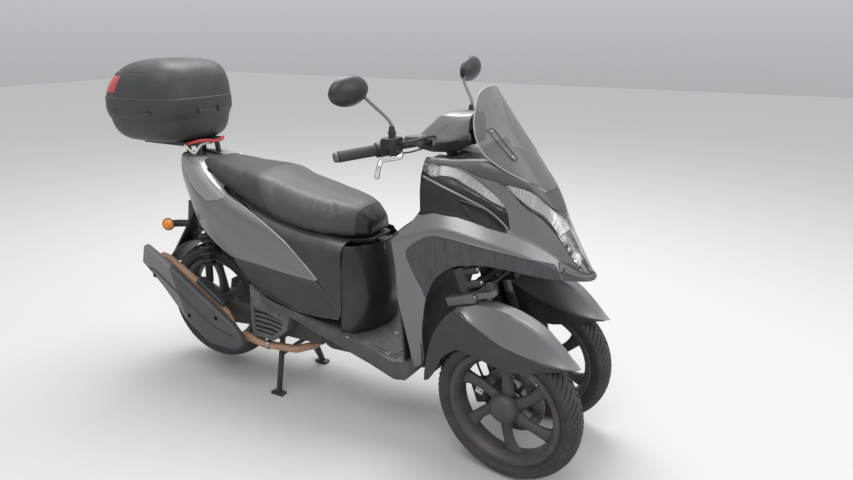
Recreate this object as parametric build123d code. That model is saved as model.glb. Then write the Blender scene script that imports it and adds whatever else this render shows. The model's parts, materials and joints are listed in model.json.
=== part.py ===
"""Leaning three-wheeled scooter with a top case, parked on its centre stand.

Millimetres. +X is forward, +Y is the rider's left, +Z is up, and the ground is z = 0.
The origin is on the ground, midway between the ends of the vehicle.
The steering rests turned a little to the right.
"""

from build123d import *
from math import cos, radians, sin
import os

os.makedirs("parts", exist_ok=True)

# Wheels and stance
WHEELBASE = 1350
FRONT_AXLE_X = 750
REAR_AXLE_X = FRONT_AXLE_X - WHEELBASE
TRACK_HALF = 193
FRONT_TYRE_R = 249
REAR_TYRE_R = 251
STAND_LIFT = 28
FRONT_AXLE_Z = FRONT_TYRE_R
REAR_AXLE_Z = REAR_TYRE_R + STAND_LIFT
FRONT_TYRE_HALF = 44
REAR_TYRE_HALF = 60
AXLE_R = 10
RUNNING_GAP = 0.05
BEAD_R = 178

# Steering
CASTER = 20
TRAIL = 68
STEER_REST = 8.5
AXIS_FOOT_X = FRONT_AXLE_X + TRAIL
AXIS_UP = Vector(-sin(radians(CASTER)), 0, cos(radians(CASTER)))
AXIS_FRONT = Vector(cos(radians(CASTER)), 0, sin(radians(CASTER)))

# Panels
SKIN = 4
PANEL_SPAN = 500

# Front mechanism, as distances up the steering axis, ahead of it and across
KINGPIN_R = 13
STEM_R = 20
FORK_Y = 115
FORK_TUBES = (-44, 10)
ARM_ROWS = ((662, 44), (706, 44))
CARRIER_UP = (645, 724)
KINGPIN_UP = (612, 700)
TIE_ROD_UP = 650
TIE_ROD_AHEAD = 90
DISC_R = 110
DISC_Y = 154

# Handlebar: the bar's run is (ahead, across, up) from the middle of the bar
BAR_R = 11
BAR_HEIGHT = 1105
BAR_RUN = ((0, 0, 0), (-4, 90, 10), (-55, 185, 6), (-159, 357, -6))
BAR_END_BORE_R = 3
MIRROR_HEIGHT = 1303
MIRROR_Y = 334
MIRROR_HALF = (75, 46)

# Wheels
SPOKES = 6
SPOKE_START = 27.5

# Windscreen: (x, z) of its middle line, and its outline as (z, half width)
SCREEN_LOW = (797, 925)
SCREEN_TOP = (585, 1212)
SCREEN_R = 165
SCREEN_WALL = 4
SCREEN_OUTLINE = ((915, 60), (945, 96), (985, 134), (1035, 150), (1100, 141), (1150, 118), (1192, 84), (1209, 44))

# Rear shock absorbers, as (x, z) of their eyes
SHOCK_LOW = (-577, 374)
SHOCK_TOP = (-560, 792)
SHOCK_Y = 97

# Plate carrier behind the rear wheel: its inner face runs from top to foot, as (x, z)
PLATE_TOP = (-700, 612)
PLATE_FOOT = (-806, 464)
PLATE_WALL = 8
PLATE_HALF = 58
PLATE_BOLT_Y = 35
PLATE_BOLT_R = 3.2

# Stands
STAND_PIVOT = (-232, 222)
STAND_FOOT = (-212, 147)
SIDE_PIVOT = (-30, 166, 226)
SIDE_TIP = (-226, 182, 212)

# Hinges of seat and top case, as (x, z)
SEAT_HINGE = (208, 662)
CASE_HINGE = (-579, 1091)

SIDES = (("right", -1), ("left", 1))

# Front form: x, then (z, half width) from the bottom edge up to the middle of the top
FRONT_FORM = (
    (340, (300, 178), (640, 212), (752, 222), (790, 200), (930, 168), (992, 142), (988, 110)),
    (430, (300, 180), (640, 218), (806, 231), (838, 200), (955, 172), (1000, 142), (994, 116)),
    (520, (480, 190), (690, 222), (842, 233), (866, 198), (948, 172), (1000, 142), (994, 112)),
    (640, (560, 178), (690, 205), (800, 214), (826, 176), (906, 160), (1000, 140), (1004, 80)),
    (740, (560, 140), (668, 172), (752, 178), (782, 138), (870, 122), (948, 108), (960, 60)),
    (800, (560, 100), (655, 138), (720, 144), (744, 108), (834, 88), (892, 72), (910, 34)),
    (860, (560, 62), (645, 96), (686, 100), (706, 74), (760, 60), (786, 44), (800, 18)),
    (925, (600, 24), (636, 46), (652, 48), (662, 40), (672, 34), (680, 26), (688, 10)),
    (944, (610, 10), (640, 24), (648, 25), (652, 22), (655, 18), (658, 14), (661, 6)),
)
REAR_FORM = (
    (-690, (712, 44), (800, 70), (860, 74), (905, 60)),
    (-560, (600, 120), (700, 140), (800, 146), (886, 120)),
    (-400, (520, 160), (610, 176), (700, 178), (796, 158)),
    (-210, (390, 166), (520, 188), (640, 192), (730, 170)),
    (-60, (350, 176), (450, 192), (560, 195), (690, 172)),
    (60, (345, 176), (430, 188), (560, 188), (676, 166)),
    (122, (345, 172), (430, 182), (560, 178), (668, 160)),
)
SEAT_FORM = (
    (-580, (848, 84), (866, 104), (894, 84), (902, 40)),
    (-403, (800, 132), (835, 146), (870, 124), (882, 60)),
    (-262, (735, 150), (800, 164), (858, 136), (872, 66)),
    (-170, (704, 154), (770, 166), (832, 134), (846, 64)),
    (-34, (684, 150), (745, 160), (800, 128), (816, 60)),
    (60, (678, 130), (730, 138), (786, 108), (799, 50)),
    (130, (676, 102), (716, 108), (768, 84), (782, 40)),
    (186, (678, 66), (706, 74), (738, 58), (744, 26)),
)
SEAT_PAN = 14
COVER_FORM = (
    (385, (1020, 86), (1036, 94), (1060, 70), (1068, 36)),
    (430, (1016, 86), (1040, 98), (1076, 78), (1088, 40)),
    (500, (1020, 58), (1060, 78), (1118, 60), (1128, 34)),
    (552, (1044, 42), (1080, 54), (1126, 44), (1134, 28)),
)
COVER_WINGS = (
    (396, (1034, 118), (1041, 150), (1057, 150), (1064, 118)),
    (440, (1034, 118), (1041, 146), (1057, 146), (1064, 118)),
)

# Side outlines, as (x, z)
COWL_BACK = ((300, 1100), (352, 1100), (349, 741), (359, 656), (361, 531), (375, 463), (395, 359), (404, 290),
             (300, 290))
ARCH_OUTLINE = ((1000, 200), (462, 200), (446, 290), (444, 440), (464, 560), (500, 640), (560, 690),
                (650, 704), (740, 690), (830, 662), (925, 645), (1000, 640))
ARCH_LINING = ((446, 296), (441, 440), (459, 560), (494, 648), (489, 653), (453, 562), (435, 440), (440, 296))
SHIELD_LINE = ((352, 984), (349, 741), (356, 640), (360, 500), (366, 400), (368, 305))
SHIELD_WALL = 8
GARNISH_OUTLINE = ((330, 1100), (330, 984), (430, 984), (500, 989), (583, 948), (656, 931), (743, 912),
                   (802, 872), (842, 836), (858, 806), (900, 860), (900, 1100))
HEADLAMP_OUTLINE = ((656, 930), (743, 911), (802, 871), (842, 835), (866, 790), (985, 790), (985, 668),
                    (928, 664), (894, 702), (838, 786), (785, 836), (736, 861))
SIDE_LAMP_OUTLINE = ((428, 955), (449, 980), (500, 985), (583, 945), (649, 902), (704, 869), (699, 856),
                     (618, 886), (518, 920), (432, 931))
NOSE_LIP_OUTLINE = ((860, 664), (990, 657), (990, 590), (860, 590))
SHOULDER_PANEL_OUTLINE = ((330, 984), (424, 984), (432, 931), (518, 920), (618, 886), (690, 858), (700, 820),
                          (640, 838), (520, 872), (430, 845), (330, 800))
UPPER_PANEL_OUTLINE = ((-700, 960), (-640, 960), (-540, 880), (-402, 797), (-210, 722), (-88, 652), (34, 533),
                       (-61, 539), (-223, 552), (-370, 556), (-420, 572), (-571, 643), (-696, 728), (-720, 800))
LOWER_PANEL_OUTLINE = ((-368, 554), (-311, 478), (-230, 434), (-72, 398), (110, 400), (122, 430), (34, 531),
                       (-61, 537), (-223, 550))
SEAT_SIDE_OUTLINE = ((-330, 775), (-210, 724), (-88, 654), (36, 533), (123, 432), (123, 700), (-200, 760))
FLOOR_TOP = ((-100, 398), (120, 352), (215, 340), (330, 298), (400, 306), (434, 346))
FLOOR_LOW = ((434, 290), (379, 236), (340, 232), (240, 268), (74, 316), (-100, 372))
FLOOR_PLAN = ((-100, -192), (330, -196), (395, -190), (434, -150), (434, 150), (395, 190), (330, 196),
              (-100, 192))
SKIRT_OUTLINE = ((-240, 432), (-100, 396), (-100, 366), (-225, 402))
MUFFLER_OUTLINE = ((-720, 534), (-752, 470), (-690, 372), (-590, 262), (-500, 205), (-352, 205), (-330, 300),
                   (-377, 368), (-459, 404), (-670, 522))
GUARD_OUTLINE = ((-770, 562), (-790, 486), (-690, 392), (-572, 256), (-474, 186), (-330, 196), (-292, 240),
                 (-330, 292), (-420, 352), (-500, 400), (-690, 520))
FENDER_CREST = ((466, 272), (480, 395), (512, 486), (574, 562), (713, 592), (860, 546), (966, 428),
                (952, 412), (850, 388), (688, 376), (568, 402), (503, 380), (484, 272))
FENDER_EDGE = ((468, 272), (484, 392), (518, 468), (590, 546), (715, 522), (860, 462), (958, 424),
               (950, 412), (850, 388), (688, 376), (568, 402), (505, 380), (486, 272))
FENDER_UPPER = 7
FENDER_HALF = 57

# Plan outlines of the top case at several heights: z, rear x, front x, half width
CASE_BASE = ((955, -944, -634, 156), (1000, -984, -606, 196), (1084, -996, -592, 210))
CASE_LID = ((1088, -997, -590, 211), (1160, -990, -598, 206), (1226, -958, -636, 184), (1264, -900, -700, 128))
CASE_WALL = 3.5

# Seat base: rows of the pedestal as z, front x, rear half width, outside and then inside; corners of the tub as z,
# rear x, front x, half width
PEDESTAL_OUTER = ((352, 208, 168), (480, 232, 170), (560, 224, 168), (640, 208, 156))
PEDESTAL_INNER = ((340, 206, 168), (480, 232, 170), (560, 224, 168), (650, 206, 155))
PEDESTAL_BACK = ((-200, 300), (123, 300), (123, 700), (-200, 700))
TUB_CORNERS = ((470, -240, 78, 88), (770, -336, 100, 108))
TUB_WALL = 3
TUB_RIM = ((110, 648), (-34, 656), (-170, 676), (-262, 708), (-340, 740), (-340, 800), (110, 800))
SEAT_EARS = 34

# Frame: runs of its tubes, the right rail standing for both
SPINE_RUN = ((520, 0, 800), (405, 0, 690), (401, 0, 420), (396, 0, 258), (180, 0, 256))
RAIL_RUN = ((200, 6, 256), (130, 110, 256), (20, 125, 262), (-50, 125, 560), (-250, 122, 650), (-420, 104, 722),
            (-650, 46, 836))
CROSS_TUBES = ((11, 300, 124), (-26, 458, 124), (-640, 831, 50))

# Engine, drive and silencer, as (x, z) side outlines and (x, y, z) runs
ENGINE_OUTLINE = ((-330, 240), (-20, 240), (-20, 325), (-112, 352), (-112, 420), (-330, 420))
ENGINE_HALF = 108
DRIVE_OUTLINE = ((-672, 262), (-650, 218), (-560, 214), (-470, 244), (-110, 246), (-78, 300), (-110, 390),
                 (-190, 404), (-500, 366), (-556, 362), (-562, 388), (-592, 388), (-600, 352), (-660, 320))
DRIVE_BULGE = ((-650, 270), (-600, 226), (-470, 252), (-120, 254), (-92, 300), (-120, 380), (-190, 394),
               (-500, 356), (-640, 316))
SWINGARM_OUTLINE = ((-640, 262), (-622, 246), (-560, 242), (-330, 262), (-300, 262), (-300, 340), (-330, 346),
                    (-500, 340), (-556, 336), (-562, 388), (-592, 388), (-598, 330), (-632, 306))
RADIATOR_OUTLINE = ((-294, 458), (-236, 418), (-112, 366), (-132, 300), (-196, 246), (-296, 250), (-296, 380))
RADIATOR_WINDOW = ((-284, 372), (-146, 336), (-160, 296), (-206, 264), (-284, 268))
SLAT_REACH = ((-288, 376), (-142, 338), (-156, 292), (-204, 260), (-288, 264))
SLATS = 5
SLAT_STEP = 20
EXHAUST_RUN = ((-70, -60, 239), (-72, -66, 212), (-130, -128, 206), (-260, -158, 212), (-352, -172, 240))
EXHAUST_R = 15
MUFFLER_SIDES = (-206, -140)
GUARD_SIDES = (-240, -216, -206)

# Rear: fender, indicators, tail light, carrier and strap
HUGGER_CUT = ((-600, 279), (-420, 560), (-560, 700), (-800, 700), (-900, 440))
HUGGER_GAP = 24
FENDER_POST = ((-682, 700), (-642, 700), (-642, 824), (-682, 824))
INDICATOR_LAMP = ((-762, -104, 616), (-750, -124, 616))
INDICATOR_ARM = ((-756, -112, 616), (-712, -50, 602))
INDICATOR_BLOCK = ((-800, 500), (-600, 500), (-600, 760), (-800, 760))
TAIL_LIGHT_OUTLINE = ((-690, 790), (-690, 884), (-706, 876), (-712, 810))
TAIL_LID_OUTLINE = ((-686, 940), (-590, 940), (-590, 884), (-686, 898))
CARRIER_PLAN = ((-880, -70), (-860, -92), (-640, -98), (-610, -80), (-610, 80), (-640, 98), (-860, 92), (-880, 70))
CARRIER_SLOT = ((-820, -40), (-700, -40), (-700, 40), (-820, 40))
CARRIER_FEET = ((-672, -40, 899), (-672, 40, 899), (-606, -50, 890), (-606, 50, 890))
CARRIER_Z = (941, 955)
STRAP_RUN = ((-628, -86, 948), (-590, -62, 962), (-578, 10, 950), (-588, 74, 960), (-626, 88, 948))


def save(name, shape):
    """One STEP file for each named piece."""
    shape.label = name
    export_step(shape, "parts/" + name + ".step")


def flip(shape):
    """The same piece on the other side of the middle plane."""
    return mirror(shape, about=Plane.XZ)


def pair(shape):
    """A piece and its twin on the other side, which don't touch."""
    return Compound(children=[*shape.solids(), *flip(shape).solids()])


def on_axis(distance, y=0.0, ahead=0.0):
    """A point at a distance up the steering axis from the ground."""
    return Vector(AXIS_FOOT_X, y, 0) + AXIS_UP * distance + AXIS_FRONT * ahead


def axis_outline(rows):
    """Points given as (up the axis, ahead of it), as (x, z)."""
    points = [on_axis(up, 0, ahead) for up, ahead in rows]
    return [(p.X, p.Z) for p in points]


def steered(shape, y=0.0, angle=-STEER_REST):
    """A piece turned about the steering axis that stands at this y."""
    return shape.rotate(Axis(Vector(AXIS_FOOT_X, y, 0), AXIS_UP), angle)


def rod(start, end, radius):
    """A round bar between two points."""
    start = Vector(*start)
    along = Vector(*end) - start
    return extrude(Plane(origin=start, z_dir=along) * Circle(radius), amount=along.length)


def ring(start, end, outer, bore):
    """A round bar with a bore through it."""
    return rod(start, end, outer) - rod(start, end, bore)


def tube(points, radius, bend):
    """A bent round bar: straight runs with arcs between them."""
    path = FilletPolyline(*points, radius=bend)
    section = Plane(origin=path @ 0, z_dir=path % 0) * Circle(radius)
    return sweep(section, path=path)


def slab(outline, low, high):
    """A side outline of (x, z) points, filled from one y to another."""
    face = make_face(Polyline(*[(x, low, z) for x, z in outline], close=True))
    return extrude(face, amount=high - low, dir=(0, 1, 0))


def plan(outline, low, high):
    """A plan outline of (x, y) points, filled from one z to another."""
    face = make_face(Polyline(*[(x, y, low) for x, y in outline], close=True))
    return extrude(face, amount=high - low, dir=(0, 0, 1))


def form(table, thin=0.0, ends=(0.0, 0.0), lift=(0.0, 0.0)):
    """A body form lofted through cross sections.

    thin takes a wall off it, and ends and lift move its ends and its bottom and top.
    """
    faces = []
    for n, (x, *rows) in enumerate(table):
        x += ends[0] if n == 0 else ends[1] if n == len(table) - 1 else 0.0
        sunk = [[z, max(half - thin, 1.0)] for z, half in rows]
        sunk[0][0] += lift[0]
        sunk[-1][0] += lift[1]
        if lift[1] < 0:
            sunk[-2][0] += lift[1]
        right = [(x, -half, z) for z, half in sunk]
        left = [(x, half, z) for z, half in reversed(sunk)]
        faces.append(make_face(Polyline(*right, *left, close=True)))
    return loft(faces, ruled=True)


def lathe_y(profile, x, y, z):
    """A profile of (radius, y) points turned about an axle along Y."""
    face = make_face(Polyline(*[(x + r, y + side, z) for r, side in profile], close=True))
    return revolve(face, axis=Axis((x, y, z), (0, 1, 0)), revolution_arc=360)


def front_pieces():
    """The front cowl and what is set into its skin, split along the real panel gaps."""
    solid = form(FRONT_FORM)
    hollow = form(FRONT_FORM, thin=SKIN, ends=(-10, -SKIN), lift=(-60, -SKIN))
    skin = solid - hollow - slab(ARCH_OUTLINE, -PANEL_SPAN, PANEL_SPAN) - slab(COWL_BACK, -PANEL_SPAN, PANEL_SPAN)
    pieces = {}
    for name, outline in (("screen_garnish", GARNISH_OUTLINE), ("headlamp", HEADLAMP_OUTLINE),
                          ("side_lamps", SIDE_LAMP_OUTLINE), ("nose_lip", NOSE_LIP_OUTLINE),
                          ("shoulder_panels", SHOULDER_PANEL_OUTLINE)):
        block = slab(outline, -PANEL_SPAN, PANEL_SPAN)
        pieces[name] = skin & block
        skin = skin - block
    pieces["front_cowl"] = skin
    stem_hole = rod(on_axis(1000), on_axis(1110), 52)
    pieces["screen_garnish"] -= stem_hole
    back = [*SHIELD_LINE, *[(x + SHIELD_WALL, z) for x, z in reversed(SHIELD_LINE)]]
    pieces["leg_shield"] = hollow & slab(back, -PANEL_SPAN, PANEL_SPAN)
    pieces["arch_lining"] = hollow & slab(ARCH_LINING, -PANEL_SPAN, PANEL_SPAN)
    return solid, pieces


def rear_pieces():
    """Side panels of the tail, the upper one light and the lower one dark, and the cover over its end."""
    core = form(REAR_FORM, thin=SKIN, ends=(SKIN, 10), lift=(-60, 60))
    skin = form(REAR_FORM) - core
    upper = skin & slab(UPPER_PANEL_OUTLINE, -PANEL_SPAN, PANEL_SPAN)
    lower = skin & slab(LOWER_PANEL_OUTLINE, -PANEL_SPAN, PANEL_SPAN)
    sides = skin & slab(SEAT_SIDE_OUTLINE, -PANEL_SPAN, PANEL_SPAN)
    lid = core & form(REAR_FORM) & slab(TAIL_LID_OUTLINE, -200, 200)
    return upper, lower, sides, lid


def windscreen(front_solid):
    """A single-curved screen that leans back, cut to its rounded outline and to the garnish under it."""
    slope = (SCREEN_TOP[0] - SCREEN_LOW[0]) / (SCREEN_TOP[1] - SCREEN_LOW[1])
    low_z = SCREEN_LOW[1] - 60
    low_x = SCREEN_LOW[0] - 60 * slope
    lean = Vector(slope, 0, 1)
    circle = Plane.XY.offset(low_z) * Pos(low_x - SCREEN_R, 0) * (Circle(SCREEN_R) - Circle(SCREEN_R - SCREEN_WALL))
    rise = SCREEN_TOP[1] - low_z + 20
    barrel = extrude(circle, amount=rise * lean.length, dir=lean.normalized())
    right = [(0, -half, z) for z, half in SCREEN_OUTLINE]
    left = [(0, half, z) for z, half in reversed(SCREEN_OUTLINE)]
    outline = extrude(make_face(Polyline(*right, *left, close=True)), amount=900, dir=(1, 0, 0))
    behind = slab(((500, 800), (560, 900), (440, 1300), (0, 1300), (0, 800)), -200, 200)
    sheet = (barrel & outline) - behind - front_solid
    return sheet.solids().sort_by(SortBy.VOLUME)[-1]


def frame():
    """Head tube, spine, floor rails and tail rails welded into one piece."""
    body = rod(on_axis(642), on_axis(985), 30)
    body += tube(SPINE_RUN, 17, 50)
    for side in (-1, 1):
        body += tube([(x, side * y, z) for x, y, z in RAIL_RUN], 14, 40)
        body += rod((SHOCK_TOP[0], side * 60, SHOCK_TOP[1]), (SHOCK_TOP[0], side * 110, SHOCK_TOP[1]), 7.9)
    for x, z, half in CROSS_TUBES:
        body += rod((x, -half, z), (x, half, z), 12)
    body += slab(((-20, 285), (8, 285), (8, 315), (-20, 315)), -30, 30)
    body += slab(axis_outline(((642, 24), (642, 30), (724, 30), (724, 24))), -24, 24)
    for up, _ahead in ARM_ROWS:
        body += rod(on_axis(up, 0, 26), on_axis(up, 0, 62), 9)
    body += side_stand_bracket()
    return body - rod(on_axis(600), on_axis(1000), STEM_R + RUNNING_GAP)


def lean_linkage():
    """Two cross arms and two end carriers: the parallelogram that lets the front wheels lean."""
    body = None
    for up, ahead in ARM_ROWS:
        arm = rod(on_axis(up, -TRACK_HALF, ahead), on_axis(up, TRACK_HALF, ahead), 12)
        arm += rod(on_axis(up, 0, ahead - 14), on_axis(up, 0, ahead + 14), 16)
        for y in (-TRACK_HALF, TRACK_HALF):
            arm += rod(on_axis(up, y, 0), on_axis(up, y, ahead + 16), 13)
        arm -= rod(on_axis(up, 0, 0), on_axis(up, 0, 120), 9)
        body = arm if body is None else body + arm
    for y in (-TRACK_HALF, TRACK_HALF):
        body += rod(on_axis(CARRIER_UP[0], y), on_axis(CARRIER_UP[1], y), 20)
        body -= rod(on_axis(600, y), on_axis(KINGPIN_UP[1] + 3, y), KINGPIN_R + RUNNING_GAP)
    return body


def fork(side):
    """Kingpin, crown, twin leading tubes and axle carrier of one front wheel, straight ahead."""
    y = side * TRACK_HALF
    inner_y = side * FORK_Y
    body = rod(on_axis(KINGPIN_UP[0], y), on_axis(KINGPIN_UP[1], y), KINGPIN_R)
    low, high = sorted((inner_y - side * 18, y + side * 30))
    body += slab(axis_outline(((612, -62), (612, 40), (640, 40), (640, -62))), low, high)
    low, high = sorted((y - side * 14, y + side * 14))
    body += slab(axis_outline(((618, 30), (618, 102), (636, 102), (636, 30))), low, high)
    body += rod(on_axis(630, y, TIE_ROD_AHEAD), on_axis(662, y, TIE_ROD_AHEAD), 6)
    for ahead in FORK_TUBES:
        body += rod(on_axis(300, inner_y, ahead), on_axis(626, inner_y, ahead), 16)
        body += rod(on_axis(244, inner_y, ahead), on_axis(420, inner_y, ahead), 20)
    low, high = sorted((inner_y - side * 12, inner_y + side * 14))
    body += slab(axis_outline(((226, 0), (240, -62), (300, -62), (300, 30), (244, 44), (226, 40))), low, high)
    axle = [(FRONT_AXLE_X, side * across, FRONT_AXLE_Z) for across in (FORK_Y - 14, FORK_Y + 36, 236, 228, 240)]
    body += rod(axle[0], axle[2], AXLE_R) + rod(axle[0], axle[1], 20) + rod(axle[3], axle[4], 17)
    for up in (430, 500):
        body += rod(on_axis(up, inner_y, -44), on_axis(up, side * (TRACK_HALF - FENDER_HALF), -44), 7)
    return body


def shrunk(outline):
    """A fender outline with its skin taken off: the upper edge drops in and the lower edge is opened."""
    upper = [(x + SKIN * (x < 520) - SKIN * (x > 900), z - SKIN * (x > 480)) for x, z in outline[:FENDER_UPPER]]
    lower = [(x, z - 70) for x, z in outline[FENDER_UPPER:]]
    upper[0] = (upper[0][0], upper[0][1] - 60)
    return upper + lower


def front_fender(side):
    """A crested shell over one front tyre, lofted from its middle line out to its flat sides."""
    def half_form(crest, edge, width):
        middle = make_face(Polyline(*[(x, 0, z) for x, z in crest], close=True))
        outside = make_face(Polyline(*[(x, width, z) for x, z in edge], close=True))
        return loft([middle, outside], ruled=True)
    outer = half_form(FENDER_CREST, FENDER_EDGE, FENDER_HALF)
    inner = half_form(shrunk(FENDER_CREST), shrunk(FENDER_EDGE), FENDER_HALF - SKIN)
    shell = (outer + flip(outer)) - (inner + flip(inner))
    return Pos(0, side * TRACK_HALF, 0) * shell


def tyre(radius, half, x, y, z):
    """A closed tyre ring that sits on its rim's bead seats."""
    wall = [(BEAD_R, -34), (195, -34), (radius - 40, -half + 1), (radius - 22, -half), (radius - 7, -half * 0.68),
            (radius - 1, -half * 0.26), (radius, 0)]
    return lathe_y(wall + [(r, -across) for r, across in reversed(wall[:-1])], x, y, z)


def rim(x, y, z, hub_half, swirl):
    """A cast wheel: rim, six swept spokes and a bored hub."""
    profile = ((194, -37), (194, -34), (BEAD_R, -34), (BEAD_R, -22), (168, -14), (168, 14), (BEAD_R, 22),
               (BEAD_R, 34), (194, 34), (194, 37), (174, 37), (163, 14), (163, -14), (174, -37))
    body = lathe_y(profile, x, y, z) + rod((x, y - hub_half, z), (x, y + hub_half, z), 30)
    spoke_side = ((24, -17), (90, -11), (166, -15), (166, 15), (90, 13), (24, 17))
    for n in range(SPOKES):
        points = []
        for r, across in spoke_side:
            turn = radians(SPOKE_START + 360 / SPOKES * n + swirl * 9 * r / 166)
            points.append((x + r * cos(turn) - across * sin(turn), z + r * sin(turn) + across * cos(turn)))
        body += slab(points, y - 11, y + 11)
    return body - rod((x, y - 90, z), (x, y + 90, z), AXLE_R + RUNNING_GAP)


def brake_disc(x, y, z, outer):
    """A brake disc on its spider; the small holes are left to the finish."""
    body = ring((x, y - 2, z), (x, y + 2, z), outer, outer - 34) + ring((x, y - 2, z), (x, y + 2, z), 44, 31)
    for n in range(SPOKES):
        turn = radians(360 / SPOKES * n)
        body += slab([(x + r * cos(turn) - across * sin(turn), z + r * sin(turn) + across * cos(turn))
                      for r, across in ((36, -7), (outer - 30, -7), (outer - 30, 7), (36, 7))], y - 2, y + 2)
    return body


def caliper(x, y, z, spot, tilt, reach):
    """A brake caliper astride its disc."""
    place = Pos(spot[0], y, spot[1]) * Rot(0, tilt, 0)
    slot = rod((x, y - 4, z), (x, y + 4, z), reach + 3)
    return place * Box(46, 40, 76) - slot


def handlebar():
    """Stem, lower arm, clamp and swept bar in one piece, straight ahead."""
    centre = on_axis(BAR_HEIGHT)
    body = rod(on_axis(612), centre, STEM_R) + rod(on_axis(1000), on_axis(1030), 28)
    body += slab(axis_outline(((612, -24), (612, 102), (630, 102), (630, -24))), -14, 14)
    body += rod(on_axis(624, 0, TIE_ROD_AHEAD), on_axis(662, 0, TIE_ROD_AHEAD), 6)
    for side in (-1, 1):
        body += tube([(centre.X + x, side * y, centre.Z + z) for x, y, z in BAR_RUN], BAR_R, 34)
    return body


def tie_rod():
    """The rod that joins the stem's arm to both kingpin arms, carried over to where the steering rests."""
    body = rod(on_axis(TIE_ROD_UP, -TRACK_HALF, TIE_ROD_AHEAD), on_axis(TIE_ROD_UP, TRACK_HALF, TIE_ROD_AHEAD), 7)
    for y, bore in ((-TRACK_HALF, 7), (0, 6 + RUNNING_GAP), (TRACK_HALF, 7)):
        ends = on_axis(TIE_ROD_UP - 9, y, TIE_ROD_AHEAD), on_axis(TIE_ROD_UP + 9, y, TIE_ROD_AHEAD)
        body = (body + rod(*ends, 14)) - rod(*ends, bore)
    home = on_axis(TIE_ROD_UP, 0, TIE_ROD_AHEAD)
    turned = steered(Pos(*home) * Sphere(1)).center()
    return Pos(*(turned - home)) * body


def bar_point(side, inward):
    """A point along the straight outer run of the bar, at a distance from its end."""
    centre = on_axis(BAR_HEIGHT)
    inner, outer = [Vector(centre.X + x, side * y, centre.Z + z) for x, y, z in BAR_RUN[-2:]]
    return outer + (inner - outer).normalized() * inward


def grip(side):
    """Rubber grip and bar-end weight."""
    body = ring(bar_point(side, 0), bar_point(side, 120), 17, BAR_R)
    body += rod(bar_point(side, -12), bar_point(side, 0), 15)
    return body - rod(bar_point(side, -12), bar_point(side, -2), BAR_END_BORE_R)


def switch_pod(side):
    """Switch housing with the brake reservoir and lever pivot, clamped round the bar."""
    spot = bar_point(side, 150)
    body = rod(bar_point(side, 122), bar_point(side, 180), 23)
    body += Pos(spot.X + 28, spot.Y, spot.Z + 20) * Box(44, 58, 26)
    body += rod((spot.X + 30, spot.Y, spot.Z + 30), (spot.X + 30, spot.Y, spot.Z + 46), 11)
    body += Pos(spot.X + 42, spot.Y, spot.Z - 4) * Box(30, 30, 30)
    return body - rod(bar_point(side, 60), bar_point(side, 240), BAR_R)


def brake_lever(side):
    """A bent lever in front of the grip."""
    spot = bar_point(side, 150)
    pivot = Vector(spot.X + 66, spot.Y, spot.Z - 6)
    near, far = bar_point(side, 96), bar_point(side, 12)
    lever = tube([tuple(pivot - Vector(9, 0, 0)), (pivot.X + 10, spot.Y + side * 22, spot.Z - 8),
                  (near.X + 62, near.Y, near.Z - 14), (far.X + 44, far.Y, far.Z - 18)], 5, 12)
    return lever - switch_pod(side)


def mirror_piece(side):
    """A mirror head on its bent stem, screwed into the switch pod."""
    spot = bar_point(side, 150)
    foot = (spot.X + 30, spot.Y, spot.Z + 46)
    top = on_axis(MIRROR_HEIGHT, side * MIRROR_Y) + Vector(-54, 0, 0)
    stem = tube((foot, (foot[0] - 2, foot[1] + side * 6, foot[2] + 44), (top.X + 16, top.Y - side * 46, top.Z - 24),
                 (top.X + 12, top.Y - side * 4, top.Z)), 5, 18)
    place = Pos(top.X, top.Y, top.Z) * Rot(0, 8, side * 6)
    shell = place * loft([Plane.YZ * Ellipse(*MIRROR_HALF), Plane.YZ.offset(16) * Ellipse(68, 40),
                          Plane.YZ.offset(28) * Ellipse(48, 26)], ruled=True)
    glass = place * extrude(Plane.YZ.offset(-10) * Ellipse(*MIRROR_HALF), amount=10)
    return stem - switch_pod(side) + shell + glass


def bar_hose(side):
    """The brake hose that loops from the reservoir back along the bar into the cover."""
    spot = bar_point(side, 150)
    start = (spot.X + 50, spot.Y - side * 4, spot.Z + 20)
    hose = tube((start, (start[0] + 44, spot.Y - side * 8, spot.Z + 27), (start[0] + 54, side * 150, spot.Z + 31),
                 (450, side * 84, 1062)), 4, 14)
    return hose - switch_pod(side) - handlebar_cover()


def handlebar_cover():
    """The tall hood over the middle of the bar, with a wing along each side of it."""
    body = form(COVER_FORM) + form(COVER_WINGS)
    body -= rod(on_axis(900), on_axis(1030), 28)
    return body - handlebar()


def seat_pieces():
    """One long stepped cushion and the moulded pan under it, with its hinge barrel."""
    cushion = form(SEAT_FORM)
    pan = form([(x, (low[0] - SEAT_PAN, low[1] - 10), (low[0], low[1] - 6)) for x, low, *_ in SEAT_FORM])
    x, z = SEAT_HINGE
    pan += slab(((150, 664), (x, z - 4), (x, z + 4), (150, 674)), -24, 24)
    pan += rod((x, -24, z), (x, 24, z), 8)
    pan -= rod((x, -30, z), (x, 30, z), 4 + RUNNING_GAP)
    return cushion, pan - cushion


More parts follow.
